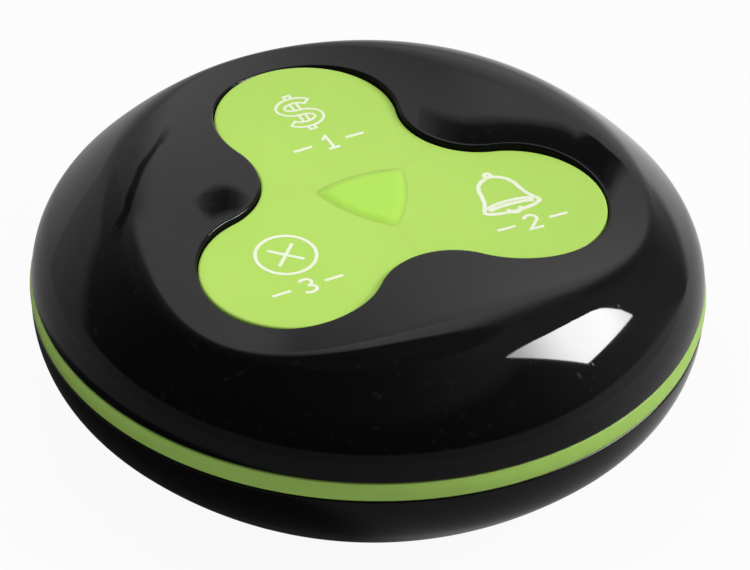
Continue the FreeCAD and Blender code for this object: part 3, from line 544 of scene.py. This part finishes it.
RIDGE_FLAG = (
    ((-5.0, 42.5, 44.7), (-4.7, 41.6, 45.0), 0),
    ((-9.0, 39.4, 46.2), (-7.6, 37.5, 46.5), 0.7),
    ((-12.8, 38.0, 47.1), (-10.2, 36.0, 47.4), 0.8),
    ((-18.8, 36.8, 47.4), (-15.3, 33.8, 48.6), 0.9),
    ((-23.0, 34.2, 48.1), (-19.2, 31.4, 49.5), 0.9),
    ((-28.4, 32.3, 47.7), (-23.4, 28.8, 50.1), 1),
    ((-31.5, 30.2, 47.8), (-26.6, 27.1, 50.3), 1),
    ((-37.5, 29.9, 44.8), (-32.7, 25.9, 49.5), 0.9),
    ((-41.5, 28.6, 42.4), (-37.5, 24.2, 48.2), 0.6),
    ((-44.8, 26.7, 40.4), (-42.4, 23.7, 45.3), 0))


def hang_flag(name, rows):
    """A flag between the ends of its rows."""
    strips, cover = [], []
    for first, second, density in rows:
        strips.append([tuple(Vector(first).lerp(Vector(second), share) * MM) for share, fade in FLAG_FADES])
        cover += [density * fade for share, fade in FLAG_FADES]
    flag = link_mesh(name, *loft(strips, closed_round=False))
    flag.data.attributes.new("cover", "FLOAT", "POINT").data.foreach_set("value", cover)
    # Painted reflection: the flag is seen only in the gloss and darkens the shell's reflection there.
    flag.visible_camera = flag.visible_diffuse = flag.visible_shadow = False
    material, add = new_material(f"{name}_cloth")
    thickness = add("ShaderNodeAttribute", {"attribute_name": "cover"})
    painted_dark_reflection = add("ShaderNodeEmission", Strength=FLAG_LEVEL)
    clear = add("ShaderNodeBsdfTransparent")
    faded = add("ShaderNodeMixShader", Fac=thickness.outputs["Fac"], i1=clear.outputs[0], i2=painted_dark_reflection.outputs[0])
    add("ShaderNodeOutputMaterial", Surface=faded.outputs[0])
    flag.data.materials.append(material)


hang_flag("right_flag", RIGHT_FLAG)
hang_flag("left_flag", LEFT_FLAG)
hang_flag("ridge_flag", RIDGE_FLAG)


# ------------------------ trim ring
# A satin lime hoop of moulded ABS, clamped between the two shells. Its edges are rounded, and its face
# bulges a hair proud of them.
RING_BULGE = 0.2
RING_ROUND = 0.3
BULGE_STEPS = 8
LATHE_STEPS = 240


def level_circle(radius, z, steps, centre=(0, 0)):
    angles = [2 * pi * step / steps for step in range(steps)]
    return [(centre[0] + radius * cos(angle), centre[1] + radius * sin(angle), z) for angle in angles]


def satin_lime():
    """Satin moulded ABS in lime, a little darker and yellower than the keypad."""
    material, add = new_material("satin_lime")
    mottle = noise(add, 250.0, 4.0)
    return finish(material, add, mottle, (0.42, 0.70, 0.118), (0.49, 0.79, 0.148),
                  spread(add, mottle, 0.33, 0.42), (noise(add, 2500.0, 2.0), 0.10, 0.00003))


lime_ring = satin_lime()


def make_trim_ring():
    """A closed half section turned about the axis of the case."""
    half_height = (RING_TOP - RING_BOTTOM) / 2 - RING_ROUND
    section = [(BODY_RADIUS - WALL, RING_BOTTOM)]
    section += arc(BODY_RADIUS - RING_ROUND, RING_BOTTOM + RING_ROUND, RING_ROUND, -90, -8, EDGE_STEPS)
    for step in range(1, BULGE_STEPS):
        rise = 2 * step / BULGE_STEPS - 1
        section.append((BODY_RADIUS + RING_BULGE * (1 - rise * rise), WAIST_HEIGHT + half_height * rise))
    section += arc(BODY_RADIUS - RING_ROUND, RING_TOP - RING_ROUND, RING_ROUND, 8, 90, EDGE_STEPS)
    section += [(BODY_RADIUS - WALL, RING_TOP)]
    points, faces = loft([level_circle(radius, z, LATHE_STEPS) for radius, z in section], closed_along=True)
    return make_piece("trim_ring_band", points, faces, lime_ring, CREASE)


trim_ring = make_trim_ring()
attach(trim_ring, "case")
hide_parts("trim_ring")


# ------------------------ base shell
# The lower half of the case, moulded in the same black ABS: a bowl with a flat foot, deep bores for
# the three case screws, shallow seats for the feet and the stepped bay for the coin cell.
BOWL_RADIUS = 54.0
BOWL_ROUND = 12.0
FOOT_RISE = 0.8
TONGUE_RADIUS = 40.7
TONGUE_TOP = 21.0
TONGUE_WALL = 1.2
INNER_FLOOR = 13.5
DOOR_RECESS = 14.25
DOOR_TOP = 2.6
BORE_RADIUS = 11.75
LEDGE_TOP = 4.1
CHANNEL_RADIUS = 13.2
PLUG_TOP = 5.4
CHANNEL_TOP = 5.7
CELL_POCKET = 10.4
BAY_ROOF = 10.2
LUG_WIDTH = 5.0
LUG_GAP = 0.3
LUG_TURN = 30
CASE_SCREW_CIRCLE = 31.0
HEAD_BORE = 2.9
HEAD_SEAT = 9.0
FOOT_CIRCLE = 24.5
FOOT_SEAT_RADIUS = 4.1
FOOT_SEAT_TOP = 1.2
FOOT_RINGS = (16, 22, 28)
BOWL_STEPS = 30
BAY_STEPS = 96
BORE_STEPS = 48
SEAT_STEPS = 64
ENTRY_START = 8.0
ENTRY_INSET = 0.1
CUT_OVERLAP = 0.2
CUTTER_FOOT = -1.0
CUT_CREASE = 35

bowl_side = BODY_RADIUS - BOWL_ROUND
bowl_span = BOWL_RADIUS - BOWL_ROUND
bowl_centre = RING_BOTTOM + sqrt(bowl_span ** 2 - bowl_side ** 2)


def capped(rings, first, last):
    """The faces of a solid made of rings, closed to a point at either end."""
    points, faces = loft(rings)
    count = len(rings[0])
    for start, pole in ((0, first), (len(points) - count, last)):
        faces += [(start + column, start + (column + 1) % count, len(points)) for column in range(count)]
        points.append(pole)
    return points, faces


def turned_solid(name, section, steps, place=(0, 0), material=None):
    """A closed turned solid from a half section that starts and ends on its axis."""
    rings = [level_circle(radius, z, steps, place) for radius, z in section[1:-1]]
    points, faces = capped(rings, (*place, section[0][1]), (*place, section[-1][1]))
    return make_piece(name, points, faces, material or black_gloss)


def round_cutter(name, radius, top, steps, place):
    section = [(0, CUTTER_FOOT), (radius, CUTTER_FOOT), (radius, top), (0, top)]
    return turned_solid(name, section, steps, place)


def bar(name, start, end, width, bottom, top, angle):
    """A straight bar from start to end along a direction, as a cutter or a part of a piece."""
    corners = []
    for z in (bottom, top):
        for x, y in ((start, -width / 2), (end, -width / 2), (end, width / 2), (start, width / 2)):
            corners.append((*turned(x, y, radians(angle)), z))
    faces = [(0, 1, 2, 3), (4, 5, 6, 7), (0, 1, 5, 4), (1, 2, 6, 5), (2, 3, 7, 6), (3, 0, 4, 7)]
    return make_piece(name, corners, faces, black_gloss)


def apply_modifiers(piece):
    """Turns a piece with its modifiers into a plain closed mesh."""
    bpy.context.view_layer.update()
    ready = piece.evaluated_get(bpy.context.evaluated_depsgraph_get())
    mesh = bpy.data.meshes.new_from_object(ready)
    piece.modifiers.clear()
    piece.data = mesh
    close_piece(piece, CUT_CREASE)


def combine(piece, tools, operation):
    """Cuts or joins tool solids into a piece and removes them."""
    for tool in tools:
        modifier = piece.modifiers.new(tool.name, "BOOLEAN")
        modifier.operation = operation
        modifier.solver = "EXACT"
        modifier.object = tool
    apply_modifiers(piece)
    for tool in tools:
        bpy.data.objects.remove(tool)


def make_base_shell():
    flat_angle = -degrees(asin((bowl_centre - FOOT_RISE) / BOWL_RADIUS))
    join_angle = -degrees(asin((bowl_centre - RING_BOTTOM) / bowl_span))
    edge_angle = -degrees(asin(EDGE_ROUND / BOWL_ROUND))
    section = [(0, FOOT_RISE)]
    section += [(radius, FOOT_RISE) for radius in FOOT_RINGS]
    section += arc(0, bowl_centre, BOWL_RADIUS, flat_angle, join_angle, BOWL_STEPS)
    section += arc(bowl_side, RING_BOTTOM, BOWL_ROUND, join_angle, edge_angle, BOWL_STEPS)[1:]
    section += arc(BODY_RADIUS - EDGE_ROUND, RING_BOTTOM - EDGE_ROUND, EDGE_ROUND, 0, 90, EDGE_STEPS)
    section += [(TONGUE_RADIUS, RING_BOTTOM), (TONGUE_RADIUS, TONGUE_TOP)]
    section += [(TONGUE_RADIUS - TONGUE_WALL, TONGUE_TOP), (TONGUE_RADIUS - TONGUE_WALL, INNER_FLOOR)]
    section += [(0, INNER_FLOOR)]
    base = turned_solid("base_shell_skin", section, LATHE_STEPS)
    bay = [(0, CUTTER_FOOT), (DOOR_RECESS, CUTTER_FOOT), (DOOR_RECESS, DOOR_TOP), (BORE_RADIUS, DOOR_TOP),
           (BORE_RADIUS, LEDGE_TOP), (CHANNEL_RADIUS, LEDGE_TOP), (CHANNEL_RADIUS, CHANNEL_TOP),
           (CELL_POCKET, CHANNEL_TOP), (CELL_POCKET, BAY_ROOF), (0, BAY_ROOF)]
    tools = [turned_solid("bay_cutter", bay, BAY_STEPS)]
    for angle in NOTCH_ANGLES:
        tools.append(bar(f"entry_cutter_{angle}", ENTRY_START, CHANNEL_RADIUS - ENTRY_INSET,
                         LUG_WIDTH + 2 * LUG_GAP, 0, LEDGE_TOP + CUT_OVERLAP, angle + LUG_TURN))
        tools.append(round_cutter(f"bore_cutter_{angle}", HEAD_BORE, HEAD_SEAT, BORE_STEPS,
                                  turned(CASE_SCREW_CIRCLE, 0, radians(angle))))
    for name, angle in LOBE_ANGLES.items():
        tools.append(round_cutter(f"{name}_seat_cutter", FOOT_SEAT_RADIUS, FOOT_SEAT_TOP, SEAT_STEPS,
                                  turned(FOOT_CIRCLE, 0, radians(angle))))
    combine(base, tools, "DIFFERENCE")
    return base


base_shell = make_base_shell()
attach(base_shell, "case")
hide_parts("base_shell")


# ------------------------ keypad
# One soft silicone moulding, a cloverleaf with a slight crown and rounded edges. It lies under the opening of
# the top shell.
KEYPAD_SINK = 0.36
CROWN_RADIUS = 650.0
KEYPAD_BOTTOM = 28.3
KEYPAD_ROUND = 0.3
SPINE_LENGTH = 18.0
BEND_START = 7.3
BEND_END = 9.8
KEYPAD_COLUMNS = 160
ROUND_STEPS = 7
KEYPAD_ROWS = 24
FLOOR_ROWS = 6

crown_middle = dish_middle - KEYPAD_SINK


def crown(x, y):
    """Height of the keypad's face."""
    return crown_middle - (x * x + y * y) / (2 * CROWN_RADIUS)


def soft_lime():
    """Lime silicone: matte, very slightly translucent, with a fine velvety surface."""
    material, add = new_material("soft_lime")
    grain = noise(add, 3500.0, 3.0)
    return finish(material, add, noise(add, 70.0, 3.0), (0.465, 0.745, 0.115), (0.505, 0.790, 0.140),
                  spread(add, grain, 0.38, 0.48), (grain, 0.12, 0.00003), Subsurface_Weight=0.25,
                  Subsurface_Scale=0.0008, Subsurface_Radius=(0.9, 1.0, 0.35), Sheen_Weight=0.08,
                  Sheen_Roughness=0.5)


lime_silicone = soft_lime()


def make_lobe(name, angle):
    """A third of the keypad: one lobe and its share of the hub, as a closed solid."""
    outline = lobe_outline(-KEY_GAP, KEYPAD_COLUMNS)
    spine = [(LOBE_DISTANCE * min(1, rest / SPINE_LENGTH), 0) for *_, rest in outline]
    floor = face_rows(outline, 0, spine, FLOOR_ROWS, lambda x, y: KEYPAD_BOTTOM)
    rows = floor[::-1] + [[(x, y, KEYPAD_BOTTOM) for x, y, *_ in outline]]
    rows += rounded_edge(outline, -KEYPAD_ROUND, ROUND_STEPS, crown)
    rows += face_rows(outline, -KEYPAD_ROUND, spine, KEYPAD_ROWS, crown)
    points, faces = loft(rows, closed_round=False)
    for column in (0, len(outline) - 1):
        faces.append(tuple(range(column, len(points), len(outline))))
    spun = [(*turned(x, y, radians(angle)), z) for x, y, z in points]
    piece = make_piece(name, spun, faces, lime_silicone, CREASE)
    along = Vector((cos(radians(angle)), sin(radians(angle)), 0)) * MM
    height = Vector((0, 0, crown_middle * MM))
    return piece, along * BEND_START + height, along * BEND_END + height


for key, angle in LOBE_ANGLES.items():
    lobe, bend_start, bend_end = make_lobe(f"{key}_lobe", angle)
    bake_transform(lobe)
    if key == "bill":
        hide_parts("bill_key", "keypad_hub")
    else:
        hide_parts(f"{key}_key")


# ------------------------ light window
# A raised triangle in the middle of the keypad, moulded in one with it. Its sides bow outwards and
# slope, and the silicone is thinner there, so the status light shows through.
WINDOW_SIDE = 4.9
WINDOW_BOW = 20.0
WINDOW_CORNER = 0.9
WINDOW_RISE = 0.35
WINDOW_SLOPE = 1.6
WINDOW_SEAT = 0.03
WINDOW_ROOT = 3.0
WINDOW_ROWS = 16
WINDOW_COLUMNS = 120
WINDOW_FACE_ROWS = 6
WINDOW_CREASE = 60


def bowed_triangle(columns):
    """Points of a triangle with bowed sides and rounded corners."""
    back = WINDOW_BOW - WINDOW_SIDE
    reach = (-back + sqrt(4 * (WINDOW_BOW - WINDOW_CORNER) ** 2 - 3 * back ** 2)) / 2
    half_corner = atan2(back * sin(SIXTH_TURN), reach + back * cos(SIXTH_TURN))
    half_side = SIXTH_TURN - half_corner
    points = []
    for angle in NOTCH_ANGLES:
        arcs = ((radians(angle), reach, WINDOW_CORNER, half_corner),
                (radians(angle + 60), -back, WINDOW_BOW, half_side))
        for middle, centre_reach, radius, half_swing in arcs:
            centre = Vector((cos(middle), sin(middle))) * centre_reach
            for step in range(columns // 6):
                swing = middle + half_swing * (12 * step / columns - 1)
                points.append(centre + radius * Vector((cos(swing), sin(swing))))
    return points


def lime_lens():
    """The same silicone where it is thin over the light guide: clearer, so its colour runs deeper."""
    material, add = new_material("lime_lens")
    return finish(material, add, noise(add, 120.0, 3.0), (0.46, 0.80, 0.095), (0.50, 0.85, 0.120), 0.42,
                  (noise(add, 3500.0, 3.0), 0.10, 0.00003), Subsurface_Weight=0.8, Subsurface_Scale=0.0016,
                  Subsurface_Radius=(0.8, 1.0, 0.2))


def make_light_window():
    foot = bowed_triangle(WINDOW_COLUMNS)
    rings = [[(spot.x, spot.y, crown(spot.x, spot.y) - WINDOW_ROOT) for spot in foot]]
    for row in range(WINDOW_ROWS + 1):
        share = row / WINDOW_ROWS
        rise = (WINDOW_RISE + WINDOW_SEAT) * share * share * (3 - 2 * share) - WINDOW_SEAT
        ring = []
        for spot in foot:
            place = spot * (1 - share * WINDOW_SLOPE / WINDOW_SIDE)
            ring.append((place.x, place.y, crown(place.x, place.y) + rise))
        rings.append(ring)
    flat = 1 - WINDOW_SLOPE / WINDOW_SIDE
    for row in range(1, WINDOW_FACE_ROWS):
        share = flat * (1 - row / WINDOW_FACE_ROWS)
        rings.append([(spot.x * share, spot.y * share, crown(spot.x * share, spot.y * share) + WINDOW_RISE)
                      for spot in foot])
    points, faces = capped(rings, (0, 0, crown_middle - WINDOW_ROOT), (0, 0, crown_middle + WINDOW_RISE))
    return make_piece("light_window", points, faces, lime_lens(), WINDOW_CREASE)


light_window = make_light_window()
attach(light_window, "case")


# ------------------------ printed marks
# White screen print on the silicone: an outlined currency sign, a bell and a crossed circle, each over a
# plain key number between two dashes. Each print is attached to its key's body.
FINE_LINE = 0.35
LINE = 0.46
BELL_LINE = 0.56
PRINT_RISE = 0.02
PRINT_STEP = 0.002
PRINT_SINK = 0.03
DASH_LENGTH = 2.6
DASH_GAP = 2.4
MITRE_LIMIT = 0.45


def white_ink():
    """Screen-printed white ink, thin enough that a trace of the lime shows through."""
    material, add = new_material("white_ink")
    cover = noise(add, 1800.0, 4.0)
    return finish(material, add, spread(add, cover, 0.0, 1.0, (0.35, 0.70)), (0.88, 0.95, 0.70),
                  (0.94, 0.97, 0.84), 0.5, (cover, 0.1, 0.00002))


printed_white = white_ink()


def beside(line, offset, closed=False):
    """The line moved sideways by an offset, with mitred corners."""
    count = len(line)
    moved = []
    for index in range(count):
        here = Vector(line[index])
        runs = []
        if index or closed:
            runs.append((here - Vector(line[index - 1])).normalized())
        if index < count - 1 or closed:
            runs.append((Vector(line[(index + 1) % count]) - here).normalized())
        normals = [Vector((-run.y, run.x)) for run in runs]
        middle = sum(normals, Vector((0, 0))).normalized()
        stretch = 1 / max(middle.dot(normals[0]), MITRE_LIMIT)
        moved.append(tuple(here + middle * offset * stretch))
    return moved


def print_line(points, faces, line, width, closed, height):
    """Adds a flat printed line to a mesh under way: a thin solid strip that follows the crown."""
    left = beside(line, width / 2, closed)
    right = beside(line, -width / 2, closed)
    start = len(points)
    for (left_x, left_y), (right_x, right_y) in zip(left, right):
        for x, y, rise in ((left_x, left_y, -PRINT_SINK), (left_x, left_y, height),
                           (right_x, right_y, height), (right_x, right_y, -PRINT_SINK)):
            points.append((x, y, crown(x, y) + rise))
    count = len(line)
    for index in range(count if closed else count - 1):
        here = start + 4 * index
        there = start + 4 * ((index + 1) % count)
        for side in range(4):
            other = (side + 1) % 4
            faces.append((here + side, here + other, there + other, there + side))
    if not closed:
        last = start + 4 * (count - 1)
        faces.append((start, start + 1, start + 2, start + 3))
        faces.append((last, last + 1, last + 2, last + 3))


def currency_sign():
    """An S drawn in outline, with a short outlined bar above, below and across each bowl."""
    spine = oval(0, 1.35, 2.05, 1.35, 25, 270, 30)[:-1] + oval(0, -1.35, 2.05, 1.35, 90, -155, 30)
    band = 0.55
    half = 0.42
    body = beside(spine, band) + beside(spine, -band)[::-1]
    lines = [(body, True)]
    for side in (1, -1):
        bar_end = [(-half, side * 3.2), (-half, side * 3.95), (half, side * 3.95), (half, side * 3.2)]
        lines.append((bar_end, False))
        lines.append(([(-side * half, side * 0.75), (-side * half, side * 2.0)], False))
        lines.append(([(side * half, side * 0.65), (side * half, side * 2.1)], False))
    return lines


def bell_sign():
    """A bell in outline: a round crown, flared sides, a deep rim and a clapper."""
    side = [(1.25, 3.45), (2.05, 2.75), (2.5, 1.7), (2.7, 0.4), (3.0, -0.9), (3.6, -2.1)]
    crown_line = oval(0, 2.6, 1.35, 1.3, 45, 135, 8)
    left_side = [(-x, y) for x, y in side]
    dome = left_side[::-1] + crown_line[::-1] + side
    upper_rim = oval(0, -2.35, 3.3, 0.85, 172, 8, 20)
    lower_rim = oval(0, -2.6, 3.95, 1.15, 180, 360, 28)
    middle_rim = oval(0, -2.75, 3.2, 0.55, 170, 10, 16)
    tips = [(-3.6, -2.1), (-3.95, -2.6)]
    knob = oval(0, 4.25, 0.42, 0.42, 0, 345, 16)
    clapper = oval(0, -3.1, 0.85, 0.95, 180, 360, 14)
    return [(dome, False), (upper_rim, False), (middle_rim, False), (lower_rim, False),
            (tips, False), ([(-x, y) for x, y in tips], False), (knob, True), (clapper, False)]


def crossed_sign():
    """A circle with a diagonal cross."""
    ring = oval(0, 0, 3.9, 3.9, 0, 354, 60)
    arm = 1.75
    return [(ring, True), ([(-arm, -arm), (arm, arm)], False), ([(-arm, arm), (arm, -arm)], False)]


NUMBERS = {
    "1": [[(-0.55, 0.75), (0.15, 1.35), (0.15, -1.35)], [(-0.65, -1.35), (0.95, -1.35)]],
    "2": [oval(0, 0.6, 0.85, 0.75, 165, -35, 14) + [(-0.9, -1.35), (0.95, -1.35)]],
    "3": [oval(0, 0.68, 0.8, 0.67, 150, -90, 14), oval(0, -0.68, 0.92, 0.67, 90, -150, 14)],
}


def make_print(name, sign, sign_place, width, number, number_place):
    """A sign, its number and two dashes. Each stroke lies a hair above the last, so they cross cleanly."""
    strokes = [([(x + sign_place[0], y + sign_place[1]) for x, y in line], width, closed)
               for line, closed in sign]
    across, up = number_place
    strokes += [([(x + across, y + up) for x, y in line], LINE, False) for line in NUMBERS[number]]
    for side in (-1, 1):
        dash = [(across + side * DASH_GAP, up), (across + side * (DASH_GAP + DASH_LENGTH), up)]
        strokes.append((dash, LINE, False))
    points, faces = [], []
    for index, (line, line_width, closed) in enumerate(strokes):
        print_line(points, faces, line, line_width, closed, PRINT_RISE + index * PRINT_STEP)
    return make_piece(name, points, faces, printed_white)


PRINTS = (
    ("bill", currency_sign(), (-0.1, 20.0), FINE_LINE, "1", (0.3, 12.5)),
    ("call", bell_sign(), (15.4, -6.6), BELL_LINE, "2", (16.3, -13.2)),
    ("cancel", crossed_sign(), (-15.3, -6.4), LINE, "3", (-15.6, -13.2)),
)
for key, sign, sign_place, width, number, number_place in PRINTS:
    key_print = make_print(f"{key}_print", sign, sign_place, width, number, number_place)
    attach(key_print, f"{key}_key")


# ------------------------ battery door
# A round door of black ABS with a fine spark-eroded texture, flush with the foot of the base. A coin in
# its slot turns it a twelfth of a turn, until its three lugs come free of the ledge.
DOOR_RADIUS = 14.0
DOOR_BOTTOM = 0.8
PLUG_RADIUS = 11.5
GROOVE_BOTTOM = 2.75
GROOVE_TOP = 3.85
GROOVE_RADIUS = 10.6
CUP_RADIUS = 9.0
CUP_FLOOR = 4.0
LUG_REACH = 1.4
LUG_LOW = 4.15
SLOT_LENGTH = 17.0
SLOT_WIDTH = 1.8
SLOT_TOP = 1.8
DOOR_ROUND = 0.35
DOOR_BEVEL = 0.12
BEVEL_ANGLE = 50
LUG_ROOT = 1.0
LUG_DROP = 0.01
DOOR_STEPS = 128


black_matte = plain_finish("matte_black", (0.010, 0.010, 0.011), (0.020, 0.020, 0.021), (0.42, 0.62), 2200.0,
                           5.0, (0.3, 0.00004))


def make_battery_door():
    section = [(0, DOOR_BOTTOM), (DOOR_RADIUS - DOOR_ROUND, DOOR_BOTTOM)]
    section += arc(DOOR_RADIUS - DOOR_ROUND, DOOR_BOTTOM + DOOR_ROUND, DOOR_ROUND, -80, 0, 5)
    section += [(DOOR_RADIUS, DOOR_TOP), (PLUG_RADIUS, DOOR_TOP), (PLUG_RADIUS, GROOVE_BOTTOM),
                (GROOVE_RADIUS, GROOVE_BOTTOM), (GROOVE_RADIUS, GROOVE_TOP), (PLUG_RADIUS, GROOVE_TOP),
                (PLUG_RADIUS, PLUG_TOP), (CUP_RADIUS, PLUG_TOP), (CUP_RADIUS, CUP_FLOOR), (0, CUP_FLOOR)]
    door = turned_solid("battery_door_turned", section, DOOR_STEPS, material=black_matte)
    lugs = [bar(f"lug_{angle}", PLUG_RADIUS - LUG_ROOT, PLUG_RADIUS + LUG_REACH, LUG_WIDTH, LUG_LOW,
                PLUG_TOP - LUG_DROP, angle) for angle in NOTCH_ANGLES]
    combine(door, lugs, "UNION")
    slot = bar("slot_cutter", -SLOT_LENGTH / 2, SLOT_LENGTH / 2, SLOT_WIDTH, 0, SLOT_TOP, 0)
    combine(door, [slot], "DIFFERENCE")
    edges = door.modifiers.new("edges", "BEVEL")
    edges.width = DOOR_BEVEL * MM
    edges.segments = 2
    edges.limit_method = "ANGLE"
    edges.angle_limit = radians(BEVEL_ANGLE)
    return door


battery_door = make_battery_door()
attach(battery_door, "door")
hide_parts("battery_door")


# ------------------------ case screws and rubber feet
# Three zinc-plated steel screws with a pan head and a cross recess hold the shells together from below.
# Three moulded rubber feet with a rounded rim sit in their seats under the keys.
CASE_HEAD_RADIUS = 2.5
CASE_HEAD_HEIGHT = 1.8
HEAD_CROWN = 0.35
HEAD_EDGE = 0.55
CASE_SHANK_RADIUS = 1.3
CASE_SCREW_TIP = 26.0
CROSS_LENGTH = 2.6
CROSS_WIDTH = 0.55
CROSS_DEPTH = 1.0
SCREW_STEPS = 36
SCREW_PITCH = 1.0
THREAD_START = 2.0
THREAD_DEPTH = 0.25
FOOT_RADIUS = 4.0
FOOT_ROUND = 0.5
FOOT_STEPS = 48


steel = plain_finish("screw_steel", (0.56, 0.56, 0.57), (0.68, 0.68, 0.67), (0.22, 0.40), 400.0, 3.0, None,
                     Metallic=1.0)
black_rubber = plain_finish("black_rubber", (0.018, 0.018, 0.018), (0.040, 0.040, 0.038), 0.85, 500.0, 6.0,
                            (0.25, 0.00005))


def spread_round(name, pattern, material, inputs):
    """Copies a pattern piece round a circle with Geometry Nodes and returns them as one plain mesh."""
    tree = bpy.data.node_groups.new(f"{name}_round", "GeometryNodeTree")
    identifiers = {}
    for label, kind in (("Geometry", "Geometry"), ("Count", "Int"), ("Circle", "Float"), ("First", "Float")):
        socket = tree.interface.new_socket(label, in_out="INPUT", socket_type=f"NodeSocket{kind}")
        identifiers[label] = socket.identifier
    tree.interface.new_socket("Geometry", in_out="OUTPUT", socket_type="NodeSocketGeometry")
    add = node_adder(tree)
    source = add("NodeGroupInput")
    ring = add("GeometryNodeMeshCircle", Vertices=source.outputs["Count"], Radius=source.outputs["Circle"])
    turned_by = add("ShaderNodeCombineXYZ", Z=source.outputs["First"])
    spun = add("GeometryNodeTransform", Geometry=ring.outputs[0], Rotation=turned_by.outputs[0])
    copies = add("GeometryNodeInstanceOnPoints", Points=spun.outputs[0], Instance=source.outputs["Geometry"])
    real = add("GeometryNodeRealizeInstances", Geometry=copies.outputs[0])
    painted = add("GeometryNodeSetMaterial", Geometry=real.outputs[0], Material=material)
    add("NodeGroupOutput", Geometry=painted.outputs[0])
    modifier = pattern.modifiers.new(name, "NODES")
    modifier.node_group = tree
    for label, value in inputs.items():
        modifier[identifiers[label]] = value
    apply_modifiers(pattern)
    pattern.name = name
    return pattern


def make_case_screw():
    head = HEAD_SEAT - CASE_HEAD_HEIGHT
    section = [(0, head)]
    section += [(radius, head + HEAD_CROWN * (radius / CASE_HEAD_RADIUS) ** 3)
                for radius in (0.8, 1.5, 2.0, 2.3)]
    section += [(CASE_HEAD_RADIUS, head + HEAD_EDGE), (CASE_HEAD_RADIUS, HEAD_SEAT),
                (CASE_SHANK_RADIUS, HEAD_SEAT)]
    turns = int((CASE_SCREW_TIP - HEAD_SEAT - THREAD_START - SCREW_PITCH) / SCREW_PITCH)
    for index in range(turns):
        z = HEAD_SEAT + THREAD_START + index * SCREW_PITCH
        section += [(CASE_SHANK_RADIUS - THREAD_DEPTH, z), (CASE_SHANK_RADIUS, z + 0.35),
                    (CASE_SHANK_RADIUS, z + 0.45), (CASE_SHANK_RADIUS - THREAD_DEPTH, z + 0.8)]
    section += [(0.5, CASE_SCREW_TIP - 0.1), (0, CASE_SCREW_TIP)]
    screw = turned_solid("case_screw_turned", section, SCREW_STEPS, material=steel)
    cross = [bar(f"cross_{angle}", -CROSS_LENGTH / 2, CROSS_LENGTH / 2, CROSS_WIDTH, head + CUTTER_FOOT,
                 head + CROSS_DEPTH, angle) for angle in (45, 135)]
    combine(screw, cross, "DIFFERENCE")
    return screw


def make_rubber_foot():
    section = [(0, 0), (2.6, 0)]
    section += arc(FOOT_RADIUS - FOOT_ROUND, FOOT_ROUND, FOOT_ROUND, -90, 0, EDGE_STEPS)
    section += [(FOOT_RADIUS, FOOT_SEAT_TOP), (0, FOOT_SEAT_TOP)]
    return turned_solid("rubber_foot_turned", section, FOOT_STEPS, material=black_rubber)


case_screws = spread_round("case_screws_turned", make_case_screw(), steel,
                           {"Count": 3, "Circle": CASE_SCREW_CIRCLE * MM, "First": radians(NOTCH_ANGLES[0])})
rubber_feet = spread_round("rubber_feet_moulded", make_rubber_foot(), black_rubber,
                           {"Count": 3, "Circle": FOOT_CIRCLE * MM, "First": radians(LOBE_ANGLES["bill"])})
for piece, node, slot in ((case_screws, "case_screws", "steel"),
                          (rubber_feet, "rubber_feet", "black_rubber")):
    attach(piece, "case")
    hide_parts(node)


# ------------------------ inside the case
# The circuit board with its parts, the white keypad support, the coin cell and its contacts. They are
# shut in behind the shells, and take only a finish.
INSIDE = (
    (plain_finish("white_abs", (0.70, 0.70, 0.67), (0.80, 0.80, 0.77), (0.3825, 0.5175), 300.0),
     ("keypad_support", "bill_switch_stem", "call_switch_stem", "cancel_switch_stem", "status_led")),
    (plain_finish("solder_mask", (0.006, 0.060, 0.020), (0.012, 0.095, 0.034), (0.255, 0.345), 120.0),
     ("circuit_board",)),
    (black_matte, ("bill_switch", "call_switch", "cancel_switch", "encoder_chip")),
    (plain_finish("nickel_plate", (0.50, 0.49, 0.46), (0.66, 0.65, 0.62), (0.2125, 0.2875), 500.0,
                  Metallic=1.0),
     ("resonator_can", "coin_cell", "cap_contact", "side_contact", "board_screws")),
    (plain_finish("chip_body", (0.22, 0.16, 0.09), (0.34, 0.25, 0.15), (0.425, 0.575), 900.0),
     ("board_components",)),
    (plain_finish("seal_rubber", (0.016, 0.016, 0.016), (0.034, 0.034, 0.033), (0.68, 0.92), 600.0),
     ("door_seal",)),
    (plain_finish("lead_sleeve", (0.28, 0.012, 0.010), (0.40, 0.020, 0.016), (0.34, 0.46), 400.0),
     ("battery_leads",)),
)
for material, nodes in INSIDE:
    for node in nodes:
        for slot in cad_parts[node].material_slots:
            slot.material = material
